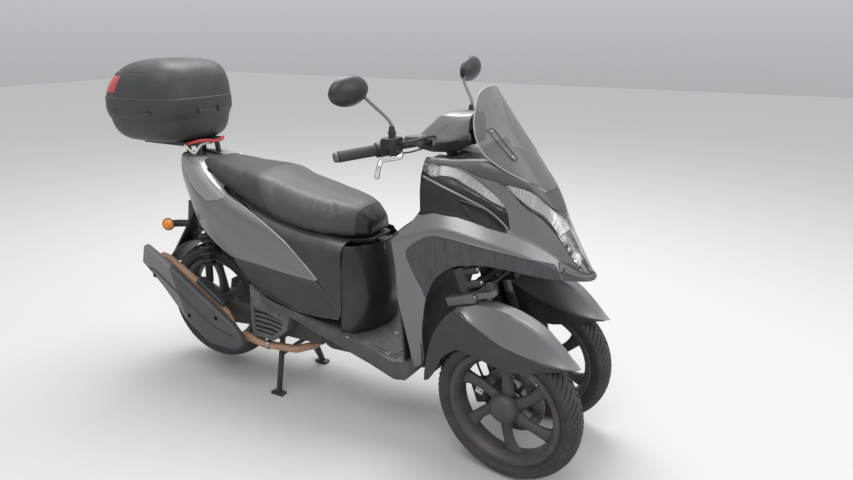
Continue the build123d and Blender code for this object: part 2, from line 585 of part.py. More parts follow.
def pedestal():
    """The moulded front of the seat base, open at its back, with the seat's hinge pin at its top."""
    def ring_face(z, front, rear_half, thin):
        points = [(114 - 20 * (thin > 0), -rear_half), (front - 78, -132), (front - 16, -82), (front, -40)]
        half = [(x - thin * (x > 130), y + thin) for x, y in points]
        return make_face(Polyline(*[(x, y, z) for x, y in half], *[(x, -y, z) for x, y in reversed(half)], close=True))
    outer = loft([ring_face(z, front, rear, 0) for z, front, rear in PEDESTAL_OUTER], ruled=True)
    inner = loft([ring_face(z, front, rear, SKIN) for z, front, rear in PEDESTAL_INNER], ruled=True)
    body = outer - inner - slab(PEDESTAL_BACK, -200, 200)
    x, z = SEAT_HINGE
    for y in (-SEAT_EARS, SEAT_EARS):
        body += slab(((x - 8, 630), (x + 6, 630), (x + 6, z + 5), (x - 8, z + 5)), y - 5, y + 5)
    return body + rod((x, -SEAT_EARS, z), (x, SEAT_EARS, z), 4)


def under_seat_tub():
    """The open storage tub between the rails, its rim cut to the underside of the seat."""
    def tapered(thin, sink):
        faces = []
        for n, (z, rear, front, half) in enumerate(TUB_CORNERS):
            level = z + sink * (n == 0)
            corners = ((rear + thin, -half + thin), (front - thin, -half + thin), (front - thin, half - thin),
                       (rear + thin, half - thin))
            faces.append(make_face(Polyline(*[(x, y, level) for x, y in corners], close=True)))
        return loft(faces, ruled=True)
    return tapered(0, 0) - tapered(TUB_WALL, TUB_WALL) - slab(TUB_RIM, -200, 200)


def floorboard():
    """The stepped floor with its side skirts, open underneath."""
    body = slab([*FLOOR_TOP, *FLOOR_LOW], -200, 200) & plan(FLOOR_PLAN, 200, 500)
    under = [(x, z - 6) for x, z in FLOOR_TOP] + [(x, z - 60) for x, z in FLOOR_LOW]
    body -= slab(under, -186, 186) & plan([(x * 0.985, y * 0.97) for x, y in FLOOR_PLAN], 100, 500)
    body -= slab(((366, 200), (440, 200), (440, 400), (366, 400)), -24, 24)
    body -= slab(((-120, 300), (30, 300), (30, 420), (-120, 420)), -150, 150)
    for side in (-1, 1):
        low, high = sorted((side * 186, side * 192))
        body += slab(SKIRT_OUTLINE, low, high)
    return body


def engine_block():
    """The closed engine as one plain block, with the lugs and pin that carry the centre stand."""
    body = slab(ENGINE_OUTLINE, -ENGINE_HALF, ENGINE_HALF)
    x, z = STAND_PIVOT
    for y in (-46, 46):
        body += slab(((x - 16, z - 12), (x + 16, z - 12), (x + 16, 241), (x - 16, 241)), y - 8, y + 8)
    return body + rod((x, -97, z), (x, 97, z), 8)


def drive_case():
    """The belt drive case on the left, which runs from the engine back to the rear axle and carries its left end."""
    return slab(DRIVE_OUTLINE, ENGINE_HALF, 132) + slab(DRIVE_BULGE, 132, 170)


def swingarm():
    """The right-hand arm from the engine to the rear axle, with the axle itself."""
    body = slab(SWINGARM_OUTLINE, -126, -ENGINE_HALF)
    return body + rod((REAR_AXLE_X, -126, REAR_AXLE_Z), (REAR_AXLE_X, ENGINE_HALF, REAR_AXLE_Z), AXLE_R)


def rear_shock(side):
    """A coil-over damper: the coils are separate rings on one body."""
    low = Vector(SHOCK_LOW[0], side * SHOCK_Y, SHOCK_LOW[1])
    high = Vector(SHOCK_TOP[0], side * SHOCK_Y, SHOCK_TOP[1])
    along = (high - low).normalized()
    body = rod(low - Vector(0, side * 17, 0), low + Vector(0, side * 11, 0), 14) + rod(low, low + along * 22, 8)
    body += rod(low + along * 18, low + along * 150, 15)
    body += rod(low + along * 120, high - along * 8, 9) + rod(high - along * 60, high - along * 20, 20)
    for n in range(9):
        at = low + along * (104 + n * 28)
        body += rod(at, at + along * 12, 22)
    body += rod(high - Vector(0, 11, 0), high + Vector(0, 11, 0), 14)
    return body - rod(high - Vector(0, 30, 0), high + Vector(0, 30, 0), 8)


def radiator_cover():
    """The louvred cover over the radiator on the right of the engine: five slanted, bowed slats in a frame."""
    body = slab(RADIATOR_OUTLINE, -176, -ENGINE_HALF) - slab(RADIATOR_WINDOW, -200, -128)
    for n in range(SLATS):
        z = 272 + n * SLAT_STEP
        slat = slab(((-290, z + 6), (-200, z + 2), (-150, z - 8), (-150, z - 3), (-200, z + 7), (-290, z + 11)),
                    -172, -128)
        body += slat & slab(SLAT_REACH, -200, -100)
    return body


def exhaust_pipe():
    """The header pipe from under the engine back to the can."""
    return tube(EXHAUST_RUN, EXHAUST_R, 22)


def muffler():
    """The can, a flat-sided oval body."""
    return slab(MUFFLER_OUTLINE, *MUFFLER_SIDES)


def muffler_guard():
    """The dark guard plate over the can's outer side."""
    face_y, shoulder_y, back_y = GUARD_SIDES
    inset = [(x * 0.97 - 16, (z - 360) * 0.86 + 360) for x, z in GUARD_OUTLINE]
    low = make_face(Polyline(*[(x, shoulder_y, z) for x, z in GUARD_OUTLINE], close=True))
    high = make_face(Polyline(*[(x, face_y, z) for x, z in inset], close=True))
    return slab(GUARD_OUTLINE, shoulder_y, back_y) + loft([low, high], ruled=True)


def rear_fender():
    """The hugger over the rear wheel and the plate carrier behind it."""
    radius = REAR_TYRE_R + HUGGER_GAP
    hoop = ring((REAR_AXLE_X, -72, REAR_AXLE_Z), (REAR_AXLE_X, 72, REAR_AXLE_Z), radius + 4, radius)
    body = hoop & slab(HUGGER_CUT, -100, 100)
    top, foot = Vector(*PLATE_TOP), Vector(*PLATE_FOOT)
    back = (foot - top).normalized().rotate(Axis.Z, -90) * PLATE_WALL
    face = [(p.X, p.Y) for p in (top, foot, foot + back, top + back)]
    body += slab([(-640, 712), *face, (-690, 712)], -PLATE_HALF, PLATE_HALF)
    body += slab(FENDER_POST, -36, 36)
    for y in (-PLATE_BOLT_Y, PLATE_BOLT_Y):
        middle = (top + foot) * 0.5
        body -= rod((middle.X - back.X * 3, y, middle.Y - back.Y * 3), (middle.X + back.X * 3, y, middle.Y + back.Y * 3),
                    PLATE_BOLT_R)
    return body - rod((REAR_AXLE_X, -80, REAR_AXLE_Z), (REAR_AXLE_X, 80, REAR_AXLE_Z), radius) - frame()


def rear_carrier():
    """The luggage carrier: a slotted plate on four feet."""
    plate = plan(CARRIER_PLAN, *CARRIER_Z) - plan(CARRIER_SLOT, *CARRIER_Z)
    for x, y, z in CARRIER_FEET:
        plate += rod((x, y, z), (x - 8, y, CARRIER_Z[0] + 5), 10)
    return plate


def case_face(z, rear, front, half, thin=0.0):
    """One plan section of the top case, with cut corners."""
    rear, front, half = rear + thin, front - thin, half - thin
    cut = half * 0.3
    right = [(rear, -half + cut * 1.2), (rear + cut, -half), (front - cut, -half), (front, -half + cut)]
    return make_face(Polyline(*[(x, y, z) for x, y in right], *[(x, -y, z) for x, y in reversed(right)], close=True))


def case_shell(rows, thin_floor, thin_roof):
    """A hollow half of the top case."""
    outer = loft([case_face(*row) for row in rows], ruled=True)
    inner_rows = [list(row) for row in rows]
    inner_rows[0][0] += thin_floor
    inner_rows[-1][0] += thin_roof
    return outer - loft([case_face(*row, thin=CASE_WALL) for row in inner_rows], ruled=True)


def top_case():
    """The case's base and its lid, hinged along the front edge."""
    x, z = CASE_HINGE
    base = case_shell(CASE_BASE, 4, 5)
    for y in (-52, 52):
        base += slab(((x - 21, 1052), (x - 4, 1052), (x + 6, z - 4), (x + 6, z + 6), (x - 4, z + 6), (x - 7, 1082),
                      (x - 17, 1082)), y - 5, y + 5)
    base += rod((x, -52, z), (x, 52, z), 4)
    lid = case_shell(CASE_LID, -5, -4)
    lid += slab(((x - 13, z + 12), (x - 4, z + 4), (x, z + 7), (x - 11, z + 20)), -42, 42)
    lid += rod((x, -42, z), (x, 42, z), 7)
    return base, lid - rod((x, -60, z), (x, 60, z), 4 + RUNNING_GAP)


def luggage_strap():
    """An elastic strap left hooked on the carrier, looped in front of the case."""
    return tube(STRAP_RUN, 4, 18) - rear_carrier()


def centre_stand():
    """Two splayed legs with feet, a cross bar and bored bosses."""
    x, z = STAND_PIVOT
    body = None
    for side in (-1, 1):
        leg = rod((x, side * 78, z), (STAND_FOOT[0], side * STAND_FOOT[1], 10), 11)
        leg += rod((x, side * 62, z), (x, side * 94, z), 15)
        leg += Pos(STAND_FOOT[0] - 2, side * STAND_FOOT[1], 5) * Box(54, 30, 10)
        body = leg if body is None else body + leg
    body += rod((x + 6, -98, z - 72), (x + 6, 98, z - 72), 9)
    body += rod((STAND_FOOT[0] - 2, 140, 14), (STAND_FOOT[0] - 60, 172, 40), 6)
    for side in (-1, 1):
        body -= rod((x, side * 55, z), (x, side * 100, z), 8 + RUNNING_GAP)
    return body


def side_stand():
    """The side stand, folded back along the left side."""
    pivot, tip = Vector(*SIDE_PIVOT), Vector(*SIDE_TIP)
    body = rod(pivot, tip, 9) + rod(pivot - Vector(0, 7, 0), pivot + Vector(0, 7, 0), 16)
    body += Pos(tip.X, tip.Y, tip.Z) * Box(34, 12, 22)
    return body - rod(pivot - Vector(0, 20, 0), pivot + Vector(0, 20, 0), 6 + RUNNING_GAP)


def side_stand_bracket():
    """The bracket under the floor that carries the side stand's pin."""
    x, y, z = SIDE_PIVOT
    body = slab(((x - 18, z - 18), (x + 18, z - 18), (40, 250), (40, 276), (-6, 276)), 130, y - 12)
    return body + rod((x, 139, z), (x, y + 12, z), 6)


def build():
    """Every named piece, at rest."""
    front_solid, pieces = front_pieces()
    upper, lower, seat_sides, tail_lid = rear_pieces()
    pieces["side_panels_upper"] = upper
    pieces["side_panels_lower"] = lower
    pieces["seat_side_covers"] = seat_sides
    pieces["tail_cover"] = tail_lid
    pieces["windscreen"] = windscreen(front_solid)
    pieces["instrument_panel"] = Pos(612, 0, 1030) * Rot(0, -30, 0) * Box(40, 130, 34) - front_solid
    pieces["frame"] = frame()
    pieces["lean_linkage"] = lean_linkage()
    pieces["engine_block"] = engine_block()
    pieces["drive_case"] = drive_case()
    pieces["swingarm"] = swingarm()
    pieces["rear_shocks"] = pair(rear_shock(1))
    pieces["radiator_cover"] = radiator_cover()
    pieces["exhaust_pipe"] = exhaust_pipe() - pieces["engine_block"]
    pieces["muffler"] = muffler() - exhaust_pipe()
    pieces["muffler_guard"] = muffler_guard()
    pieces["rear_fender"] = rear_fender()
    pieces["tail_light"] = slab(TAIL_LIGHT_OUTLINE, -50, 50)
    lamp = rod(*INDICATOR_LAMP, 19) + rod(*INDICATOR_ARM, 7)
    pieces["rear_indicators"] = pair(lamp - slab(INDICATOR_BLOCK, -PLATE_HALF, PLATE_HALF))
    pieces["pedestal"] = pedestal()
    pieces["under_seat_tub"] = under_seat_tub()
    pieces["floorboard"] = floorboard()
    pieces["rear_carrier"] = (rear_carrier() - tail_lid).solids().sort_by(SortBy.VOLUME)[-1]
    pieces["top_case_base"], pieces["top_case_lid"] = top_case()
    pieces["luggage_strap"] = luggage_strap()
    pieces["seat_cushion"], pieces["seat_pan"] = seat_pieces()
    pieces["centre_stand"] = centre_stand()
    pieces["side_stand"] = side_stand()
    bar = handlebar()
    pieces["handlebar"] = steered(bar)
    pieces["handlebar_cover"] = steered(handlebar_cover())
    pieces["tie_rod"] = tie_rod()
    for name, maker in (("grips", grip), ("switch_pods", switch_pod), ("brake_levers", brake_lever),
                        ("mirrors", mirror_piece), ("bar_hoses", bar_hose)):
        solids = [solid for side in (-1, 1) for solid in steered(maker(side)).solids()]
        pieces[name] = Compound(children=solids)
    for name, side in SIDES:
        y = side * TRACK_HALF
        hub = (FRONT_AXLE_X, y, FRONT_AXLE_Z)
        spot = on_axis(262, 0, -66)
        pieces["fork_" + name] = steered(fork(side), y)
        pieces["front_fender_" + name] = steered(front_fender(side), y)
        block = caliper(FRONT_AXLE_X, side * DISC_Y, FRONT_AXLE_Z, (spot.X - 30, spot.Z + 24), -CASTER, DISC_R)
        pieces["brake_caliper_" + name] = steered(block - fork(side), y)
        pieces["front_rim_" + name] = steered(rim(*hub, 32, 1), y)
        pieces["front_tyre_" + name] = steered(tyre(FRONT_TYRE_R, FRONT_TYRE_HALF, *hub), y)
        disc = brake_disc(FRONT_AXLE_X, side * DISC_Y, FRONT_AXLE_Z, DISC_R)
        pieces["brake_disc_" + name] = steered(disc, y)
    hub = (REAR_AXLE_X, 0, REAR_AXLE_Z)
    pieces["rear_rim"] = rim(*hub, 60, 1)
    pieces["rear_tyre"] = tyre(REAR_TYRE_R, REAR_TYRE_HALF, *hub)
    return pieces


if __name__ == "__main__":
    for name, piece in build().items():
        save(name, piece)
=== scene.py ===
"""Looks of the leaning three-wheeled scooter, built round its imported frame.

Shapes are written in millimetres and made in metres. +X is forward, +Y the rider's left, +Z up.
"""

import json
from math import cos, pi, radians, sin

import bpy
from mathutils import Matrix, Quaternion, Vector
from mathutils.bvhtree import BVHTree


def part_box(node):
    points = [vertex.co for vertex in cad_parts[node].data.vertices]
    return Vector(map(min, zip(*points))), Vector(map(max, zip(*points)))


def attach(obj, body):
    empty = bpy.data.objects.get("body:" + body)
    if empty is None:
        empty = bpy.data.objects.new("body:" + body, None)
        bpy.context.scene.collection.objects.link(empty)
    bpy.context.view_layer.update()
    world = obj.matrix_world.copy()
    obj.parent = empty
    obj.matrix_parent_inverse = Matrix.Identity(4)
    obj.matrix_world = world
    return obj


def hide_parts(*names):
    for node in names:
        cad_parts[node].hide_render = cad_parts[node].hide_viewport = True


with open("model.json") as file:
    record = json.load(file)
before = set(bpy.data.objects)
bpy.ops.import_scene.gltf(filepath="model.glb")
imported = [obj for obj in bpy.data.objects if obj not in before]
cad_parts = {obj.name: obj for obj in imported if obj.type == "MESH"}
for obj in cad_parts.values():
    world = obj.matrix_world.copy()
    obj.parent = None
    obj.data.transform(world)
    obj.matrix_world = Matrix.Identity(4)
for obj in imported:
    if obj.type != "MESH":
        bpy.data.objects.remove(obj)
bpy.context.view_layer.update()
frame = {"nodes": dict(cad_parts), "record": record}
NODES = frame["nodes"]
RECORD = frame["record"]
BODY_OF = {node: body for body, nodes in RECORD["behaviour"]["bodies"].items() for node in nodes}

MM = 0.001
SKINS = {}

# Camera of the photograph: where it stands in metres, and its turn in degrees
CAMERA_SPOT = (1.3416, -1.9415, 1.3801)
CAMERA_YAW = 116.76
CAMERA_PITCH = -17.79
CAMERA_ROLL = -0.28
CAMERA_LENS = 27.85

# Wheels
FRONT_HUB = (750, 193, 249)
REAR_HUB = (-600, 0, 279)
FRONT_TYRE = (249, 44)
REAR_TYRE = (251, 60)
BEAD_R = 178
FRONT_TREAD_PITCHES = 34
REAR_TREAD_PITCHES = 32
FRONT_HUB_HALF = 32
REAR_HUB_HALF = 58
DISC_Y = 154
DISC_HOLES = 24
DISC_HOLE_RINGS = (83, 93, 102)
DISC_HOLE_R = 3.4

# Profiles of the cast rims, as (radius, across); the spoke's stations as radius, half width and half depth
BARREL = ((194.5, -37), (193, -34), (181, -33), (176, -22), (168, -12), (168, 12), (176, 22), (181, 33),
          (193, 34), (194.5, 37), (190, 39.5), (178, 38), (170, 30), (162, 12), (162, -12), (170, -30),
          (178, -38), (190, -39.5))
SPOKE = ((22, 24, 22), (50, 20, 17), (90, 17, 13), (130, 19, 12), (155, 26, 14), (167, 36, 16))
HUB_CAP = ((0, 51), (20, 50), (33, 46.5), (43, 40), (49, 31), (50, 18), (47, 18), (46, 30), (40, 38),
           (31, 44), (19, 48), (0, 49))

# Steering
CASTER = 20
AXIS_FOOT_X = 818
STEER_REST = 8.5
AXIS_UP = Vector((-sin(radians(CASTER)), 0, cos(radians(CASTER))))
AXIS_FRONT = Vector((cos(radians(CASTER)), 0, sin(radians(CASTER))))
BAR_HEIGHT = 1105
BAR_RUN = ((0, 0, 0), (-4, 90, 10), (-55, 185, 6), (-159, 357, -6))
BAR_END = ((3.1, -12), (13, -12), (15.5, -9), (15.5, -1), (13, 0), (3.1, 0))
GRIP_RIBS = 20
GRIP_RIB_PITCH = 5.9
POD_INWARD = 150
LEVER_TIP_INWARD = 84
LEVER_R = 7.5
SWITCHES = ((-14, 12, 16), (-18, -4, 14), (-22, -18, 10))
COVER_CREASE = ((400, 88, 1052), (440, 86, 1066), (478, 70, 1098), (505, 48, 1122))
COVER_WING = (402, 118, 1051)
MIRROR_BOOT = ((0, 0), (12, 0), (13, 6), (9, 16), (8, 26), (0, 27))
MIRROR_HEIGHT = 1303
MIRROR_Y = 334
SIDES = (("right", -1), ("left", 1))

# Panels
SKIN = 3.6
PANEL_GAP = 1.6
REACH = 600

# Front form: x, then (z, half width) from the bottom edge up to the middle of the top
FRONT_FORM = (
    (340, (300, 178), (640, 212), (735, 222), (772, 206), (930, 168), (992, 142), (988, 110)),
    (430, (300, 180), (640, 218), (774, 230), (820, 208), (955, 172), (1000, 142), (994, 116)),
    (520, (480, 190), (690, 222), (804, 232), (850, 206), (948, 172), (1000, 142), (994, 112)),
    (640, (560, 178), (690, 205), (784, 215), (826, 180), (906, 160), (1000, 140), (1004, 80)),
    (740, (560, 140), (668, 172), (750, 178), (786, 140), (870, 122), (948, 108), (960, 60)),
    (800, (560, 100), (655, 138), (722, 144), (752, 108), (834, 88), (892, 72), (910, 34)),
    (860, (560, 62), (645, 96), (686, 100), (706, 74), (760, 60), (786, 44), (800, 18)),
    (925, (600, 24), (636, 46), (652, 48), (662, 40), (672, 34), (680, 26), (688, 10)),
    (944, (610, 10), (640, 24), (648, 25), (652, 22), (655, 18), (658, 14), (661, 6)),
)
REAR_FORM = (
    (-690, (712, 44), (800, 70), (860, 74), (905, 60)),
    (-560, (600, 120), (700, 140), (800, 146), (886, 120)),
    (-400, (520, 160), (610, 176), (700, 178), (796, 158)),
    (-210, (390, 166), (520, 188), (640, 192), (730, 170)),
    (-60, (350, 176), (450, 192), (560, 195), (690, 172)),
    (60, (345, 176), (430, 188), (560, 188), (676, 166)),
    (122, (345, 172), (430, 182), (560, 178), (668, 160)),
)
SEAT_FORM = (
    (-580, (848, 84), (866, 104), (894, 84), (902, 40)),
    (-403, (800, 132), (835, 146), (870, 124), (882, 60)),
    (-262, (735, 150), (800, 164), (858, 136), (872, 66)),
    (-170, (704, 154), (770, 166), (832, 134), (846, 64)),
    (-34, (684, 150), (745, 160), (800, 128), (816, 60)),
    (60, (678, 130), (730, 138), (786, 108), (799, 50)),
    (130, (676, 102), (716, 108), (768, 84), (782, 40)),
    (186, (678, 66), (706, 74), (738, 58), (744, 26)),
)
COVER_FORM = (
    (385, (1020, 88), (1040, 96), (1064, 74), (1074, 40)),
    (425, (1014, 90), (1046, 100), (1094, 72), (1106, 44)),
    (452, (1013, 86), (1050, 96), (1114, 62), (1127, 42)),
    (506, (1016, 60), (1056, 80), (1116, 58), (1130, 36)),
    (552, (1040, 42), (1078, 54), (1122, 44), (1132, 28)),
)

# Side outlines of the panels, as (x, z)
COWL_BACK = ((300, 1100), (436, 1100), (430, 948), (433, 900), (442, 846), (411, 803), (373, 772), (349, 741),
             (359, 656), (361, 531), (375, 463), (395, 359), (404, 290), (300, 290))
ARCH_OUTLINE = ((1000, 200), (462, 200), (446, 290), (444, 440), (464, 560), (500, 640), (560, 690),
                (650, 704), (740, 690), (830, 662), (925, 645), (1000, 640))
GARNISH_OUTLINE = ((330, 1100), (330, 984), (430, 984), (500, 989), (549, 984), (619, 960), (672, 948),
                   (757, 926), (808, 878), (845, 838), (862, 806), (900, 860), (900, 1100))
HEADLAMP_OUTLINE = ((672, 946), (756, 924), (806, 876), (842, 837), (866, 790), (985, 790), (985, 668),
                    (928, 664), (894, 702), (838, 786), (796, 838), (747, 875), (698, 927))
SIDE_LAMP_OUTLINE = ((440, 958), (466, 982), (506, 996), (552, 977), (620, 947), (667, 910), (691, 880),
                     (704, 856), (653, 884), (588, 916), (535, 941), (473, 954))
SHOULDER_STRIP = ((438, 948), (504, 926), (591, 893), (655, 862), (700, 822), (712, 802))
NOSE_LIP_OUTLINE = ((854, 708), (880, 700), (905, 684), (928, 664), (990, 657), (990, 590), (880, 590),
                    (870, 664))
SHOULDER_PANEL_OUTLINE = ((400, 985), (437, 962), (473, 957), (535, 944), (588, 919), (653, 887), (703, 858),
                          (716, 800), (619, 829), (567, 842), (489, 848), (450, 836), (400, 830))
FLANGE_OUTLINE = ((396, 714), (432, 748), (464, 771), (505, 786), (576, 778), (674, 758), (758, 738),
                  (852, 704), (884, 600), (640, 480), (480, 520), (456, 592), (430, 636))
VENT_OUTLINE = ((560, 893), (641, 869), (689, 836), (712, 802), (661, 815), (617, 831), (592, 852))
LAMP_PRISMS = (((486, 954), (535, 950), (590, 926), (650, 892), (688, 872)),
               ((486, 982), (540, 974), (600, 950), (660, 908), (692, 876)), 9)
NOSE_PRISMS = (((694, 931), (750, 879), (798, 843), (830, 802), (842, 784)),
               ((690, 939), (754, 918), (800, 876), (838, 836), (862, 796)), 8)
UPPER_PANEL_OUTLINE = ((-700, 960), (-640, 960), (-540, 880), (-402, 797), (-210, 722), (-88, 652), (34, 533),
                       (-61, 539), (-223, 552), (-370, 556), (-420, 572), (-571, 643), (-696, 728), (-720, 800))
LOWER_PANEL_OUTLINE = ((-368, 554), (-311, 478), (-230, 434), (-72, 398), (110, 400), (122, 430), (34, 531),
                       (-61, 537), (-223, 550))
TAIL_STRIP = ((-720, 970), (-640, 970), (-538, 890), (-392, 796), (-394, 778), (-480, 757), (-540, 783),
              (-599, 815), (-710, 878))
SEAT_SIDE_OUTLINE = ((-330, 775), (-210, 724), (-88, 654), (36, 533), (123, 432), (123, 700), (-200, 760))

# Reflectors: (radius, depth), and for the nose the radius as a share of the bowl's size
SIDE_BOWL = ((3, 0), (10, 3), (15, 9), (18, 18), (19, 18), (17, 8), (11, 1), (3, -2))
NOSE_BOWL = ((0.2, 0), (0.6, 4), (0.85, 12), (1, 22), (1.06, 22), (0.9, 10), (0.62, 1), (0.2, -3))

# Fender stations: x and z of the crest, of the ridge beside it, of the grey part's edge, of the crease on the
# side and of the rim, then the half width
FENDER_STATIONS = (
    ((466, 272), (466, 272), (467, 273), (470, 275), (484, 279), 57),
    ((468, 322), (469, 322), (472, 322), (484, 324), (512, 320), 57),
    ((484, 402), (486, 402), (490, 404), (504, 402), (537, 375), 57),
    ((514, 486), (517, 486), (522, 482), (540, 458), (562, 400), 57),
    ((574, 558), (580, 560), (590, 560), (596, 484), (602, 426), 57),
    ((640, 584), (645, 579), (656, 526), (655, 474), (660, 418), 57),
    ((713, 594), (718, 584), (742, 490), (740, 466), (742, 406), 57),
    ((790, 586), (796, 571), (806, 477), (800, 468), (800, 407), 57),
    ((862, 560), (864, 542), (858, 470), (856, 465), (856, 424), 54),
    ((920, 516), (916, 498), (905, 463), (905, 460), (905, 439), 46),
    ((962, 472), (956, 466), (945, 458), (945, 456), (944, 448), 33),
    ((982, 452), (978, 452), (970, 452), (970, 451), (968, 448), 15),
)
FENDER_GREY_FROM = 4
FENDER_SHARES = (0.93, 1.03, 0.96, 0.40, 0)
FENDER_MIDDLE = Vector((720, 0, 380)) * MM

# Leg shield: heights where it is cut across, and where and how far its upper part moves forward
SHIELD_CUTS = (760, 790, 820, 850)
SHIELD_TURN = 745
SHIELD_RISE = 100
SHIELD_AHEAD = 86

# Windscreen
SCREEN_LOW = (797, 925)
SCREEN_TOP = (585, 1212)
SCREEN_R = 165
SCREEN_SLOT = ((110, 1090), (96, 1016))
SCREEN_SLOT_R = 9
SCREEN_OUTLINE = ((915, 60), (945, 96), (985, 134), (1035, 150), (1100, 141), (1150, 118), (1192, 84),
                  (1209, 44), (1212, 8))

# Plan rings of the top case: z, rear x, front x, half width
CASE_BASE = ((957, -926, -648, 132), (962, -940, -634, 156), (982, -962, -617, 180), (1016, -980, -605, 195),
             (1076, -991, -597, 205))
CASE_LID = ((1092, -994, -592, 208), (1120, -992, -590, 208), (1150, -981, -591, 206), (1182, -958, -595, 200),
            (1212, -926, -604, 189), (1238, -886, -622, 170), (1255, -846, -652, 138), (1263, -810, -700, 92),
            (1265, -788, -744, 40))
CASE_RIM = ((1050, -991, -598, 205), (1076, -997, -588, 212), (1080, -997, -588, 212), (1124, -995, -588, 211))
# Its latch tabs by x, its lid's edge line as (x, z), and the heights of its reflectors
CASE_TABS = (("front", -700), ("rear", -868))
CASE_LID_LINE = ((-880, 1214), (-860, 1220), (-780, 1222), (-700, 1220), (-682, 1214))
REFLECTOR_HEIGHTS = (1142, 1205)

# Seat: where the two seams cross the middle, and the raised line on each flank of the rear part
SEAT_SEAM_X = -262
NOSE_SEAM_X = 142
SEAT_LOOP = ((-540, 872), (-480, 868), (-420, 860), (-370, 848), (-330, 828), (-322, 806), (-345, 796),
             (-400, 812), (-460, 832), (-520, 850))

# Pedestal front: height, foremost x, and half width at the side skins
PEDESTAL_STATIONS = ((350, 208, 168), (420, 222, 170), (480, 232, 170), (560, 224, 168), (634, 210, 158),
                     (668, 206, 148))

PEDESTAL_MIDDLE = Vector((100, 0, 500)) * MM

# Floor: ribs, border lines and screws as (x, y)
FLOOR_RIBS_Y = (88, 102, 116, 130, 144, 158)
FLOOR_RIBS_X = (246, 268, 290, 312, 328)
FLOOR_SCREWS = ((150, 186), (262, 40), (300, 168))

# Radiator cover: x of each slat and how far it bows
SLATS = ((-284, -9), (-246, -5), (-206, 0), (-166, 5), (-128, 9))

# Rear shock absorbers: ends, the body's profile along the line, and the coil's start, end and radii
SHOCK_FOOT = (-577, 97, 374)
SHOCK_HEAD = (-560, 97, 792)
SHOCK_PROFILE = ((0, -10), (13, -10), (14, -4), (14, 8), (11, 14), (15, 22), (15, 96), (31, 98), (31, 103),
                 (15, 106), (15, 148), (13, 152), (8, 153), (8, 350), (31, 351), (31, 358), (22, 362),
                 (22, 404), (12, 410), (14, 416), (13, 428), (0, 428))
COIL_ENDS = (106, 350)
COIL_R = 26.5
COIL_WIRE = 4.6
COIL_TURNS = 9

# Rear indicators and the strap
INDICATOR_SPOT = (-756, 114, 616)
INDICATOR_LENS = ((0, 12), (9, 11.6), (10, 10.4), (17, 8.6), (22, 4), (23, 0), (0, 0))
INDICATOR_CUP = ((0, -20), (10, -18), (22, -5), (25.5, 1), (25.5, 3), (24, 3), (23, 0), (0, 0))
INDICATOR_ARM = ((-756, 104, 615), (-742, 84, 614), (-726, 66, 612), (-708, 50, 610))
STRAP_ROUTE = ((-628, -86, 948), (-604, -76, 957), (-586, -40, 960), (-578, 10, 951), (-584, 50, 955),
               (-604, 78, 957), (-626, 88, 948))
STRAP_TAIL = ((-640, -94, 946), (-622, -92, 930), (-606, -84, 915), (-600, -76, 922), (-596, -50, 944),
              (-590, 0, 946))

# Silencer: the guard's outline and marks, the can's middle plane, how thin it is, its front end and its line
GUARD_OUTLINE = ((-770, 562), (-790, 486), (-690, 402), (-572, 270), (-470, 200), (-330, 200), (-292, 240),
                 (-330, 292), (-420, 352), (-500, 400), (-690, 520))
GUARD_FACES_Y = (-238, -208)
GUARD_CREASE = ((-748, 470), (-700, 452), (-600, 384), (-500, 318), (-420, 276), (-345, 262))
GUARD_WASHERS = ((-726, 440), (-560, 300), (-420, 318))
WASHER = ((0, 0), (6, 0), (7.5, 1.2), (9, 0.6), (9, -2), (0, -2))
CAN_Y = -206
CAN_THICKNESS_SHARE = 0.42
CAN_FRONT = (-330, -196, 236)
CAN_ALONG = (-0.845, 0, 0.534)
CAN_TAPER = 200


def only(piece):
    """Makes one piece the sole selected and active object."""
    bpy.ops.object.select_all(action="DESELECT")
    piece.select_set(True)
    bpy.context.view_layer.objects.active = piece
    return piece


def from_faces(name, points, faces, edges=()):
    """A mesh object from points in millimetres."""
    mesh = bpy.data.meshes.new(name)
    mesh.from_pydata([tuple(v * MM for v in point) for point in points], edges, faces)
    piece = bpy.data.objects.new(name, mesh)
    bpy.context.scene.collection.objects.link(piece)
    return piece


def modify(piece, kind, **settings):
    """Adds a modifier with these settings and applies it."""
    modifier = piece.modifiers.new(kind, kind)
    for key, value in settings.items():
        setattr(modifier, key, value)
    only(piece)
    bpy.ops.object.modifier_apply(modifier=modifier.name)
    return piece


def in_edit_mode(piece, work):
    """Opens a piece in edit mode with all of it selected, does the work there and closes it."""
    only(piece)
    bpy.ops.object.mode_set(mode="EDIT")
    bpy.ops.mesh.select_all(action="SELECT")
    work()
    bpy.ops.object.mode_set(mode="OBJECT")
    return piece


def tidy(piece, flat=0.6, merge=0.02):
    """Merges doubles and turns the faces outwards; flat joins faces that lie in one plane."""
    def work():
        bpy.ops.mesh.remove_doubles(threshold=merge * MM)
        if flat:
            bpy.ops.mesh.dissolve_limited(angle_limit=radians(flat))
        bpy.ops.mesh.normals_make_consistent(inside=False)
    return in_edit_mode(piece, work)


def copy_of(piece, name):
    """A second object with its own mesh."""
    twin = bpy.data.objects.new(name, piece.data.copy())
    twin.data.materials.clear()
    bpy.context.scene.collection.objects.link(twin)
    return twin


def remove(*things):
    """Deletes helper objects."""
    for thing in things:
        bpy.data.objects.remove(thing)


def join(name, pieces):
    """Joins pieces into the first and names it."""
    only(pieces[0])
    for piece in pieces:
        piece.select_set(True)
    bpy.ops.object.join()
    pieces[0].name = name
    return pieces[0]


def rounded(piece, width, steps=2, angle=30):
    """Rounds the sharp edges of a closed piece."""
    return modify(piece, "BEVEL", width=width * MM, segments=steps, limit_method="ANGLE",
                  angle_limit=radians(angle), miter_outer="MITER_ARC", harden_normals=False)


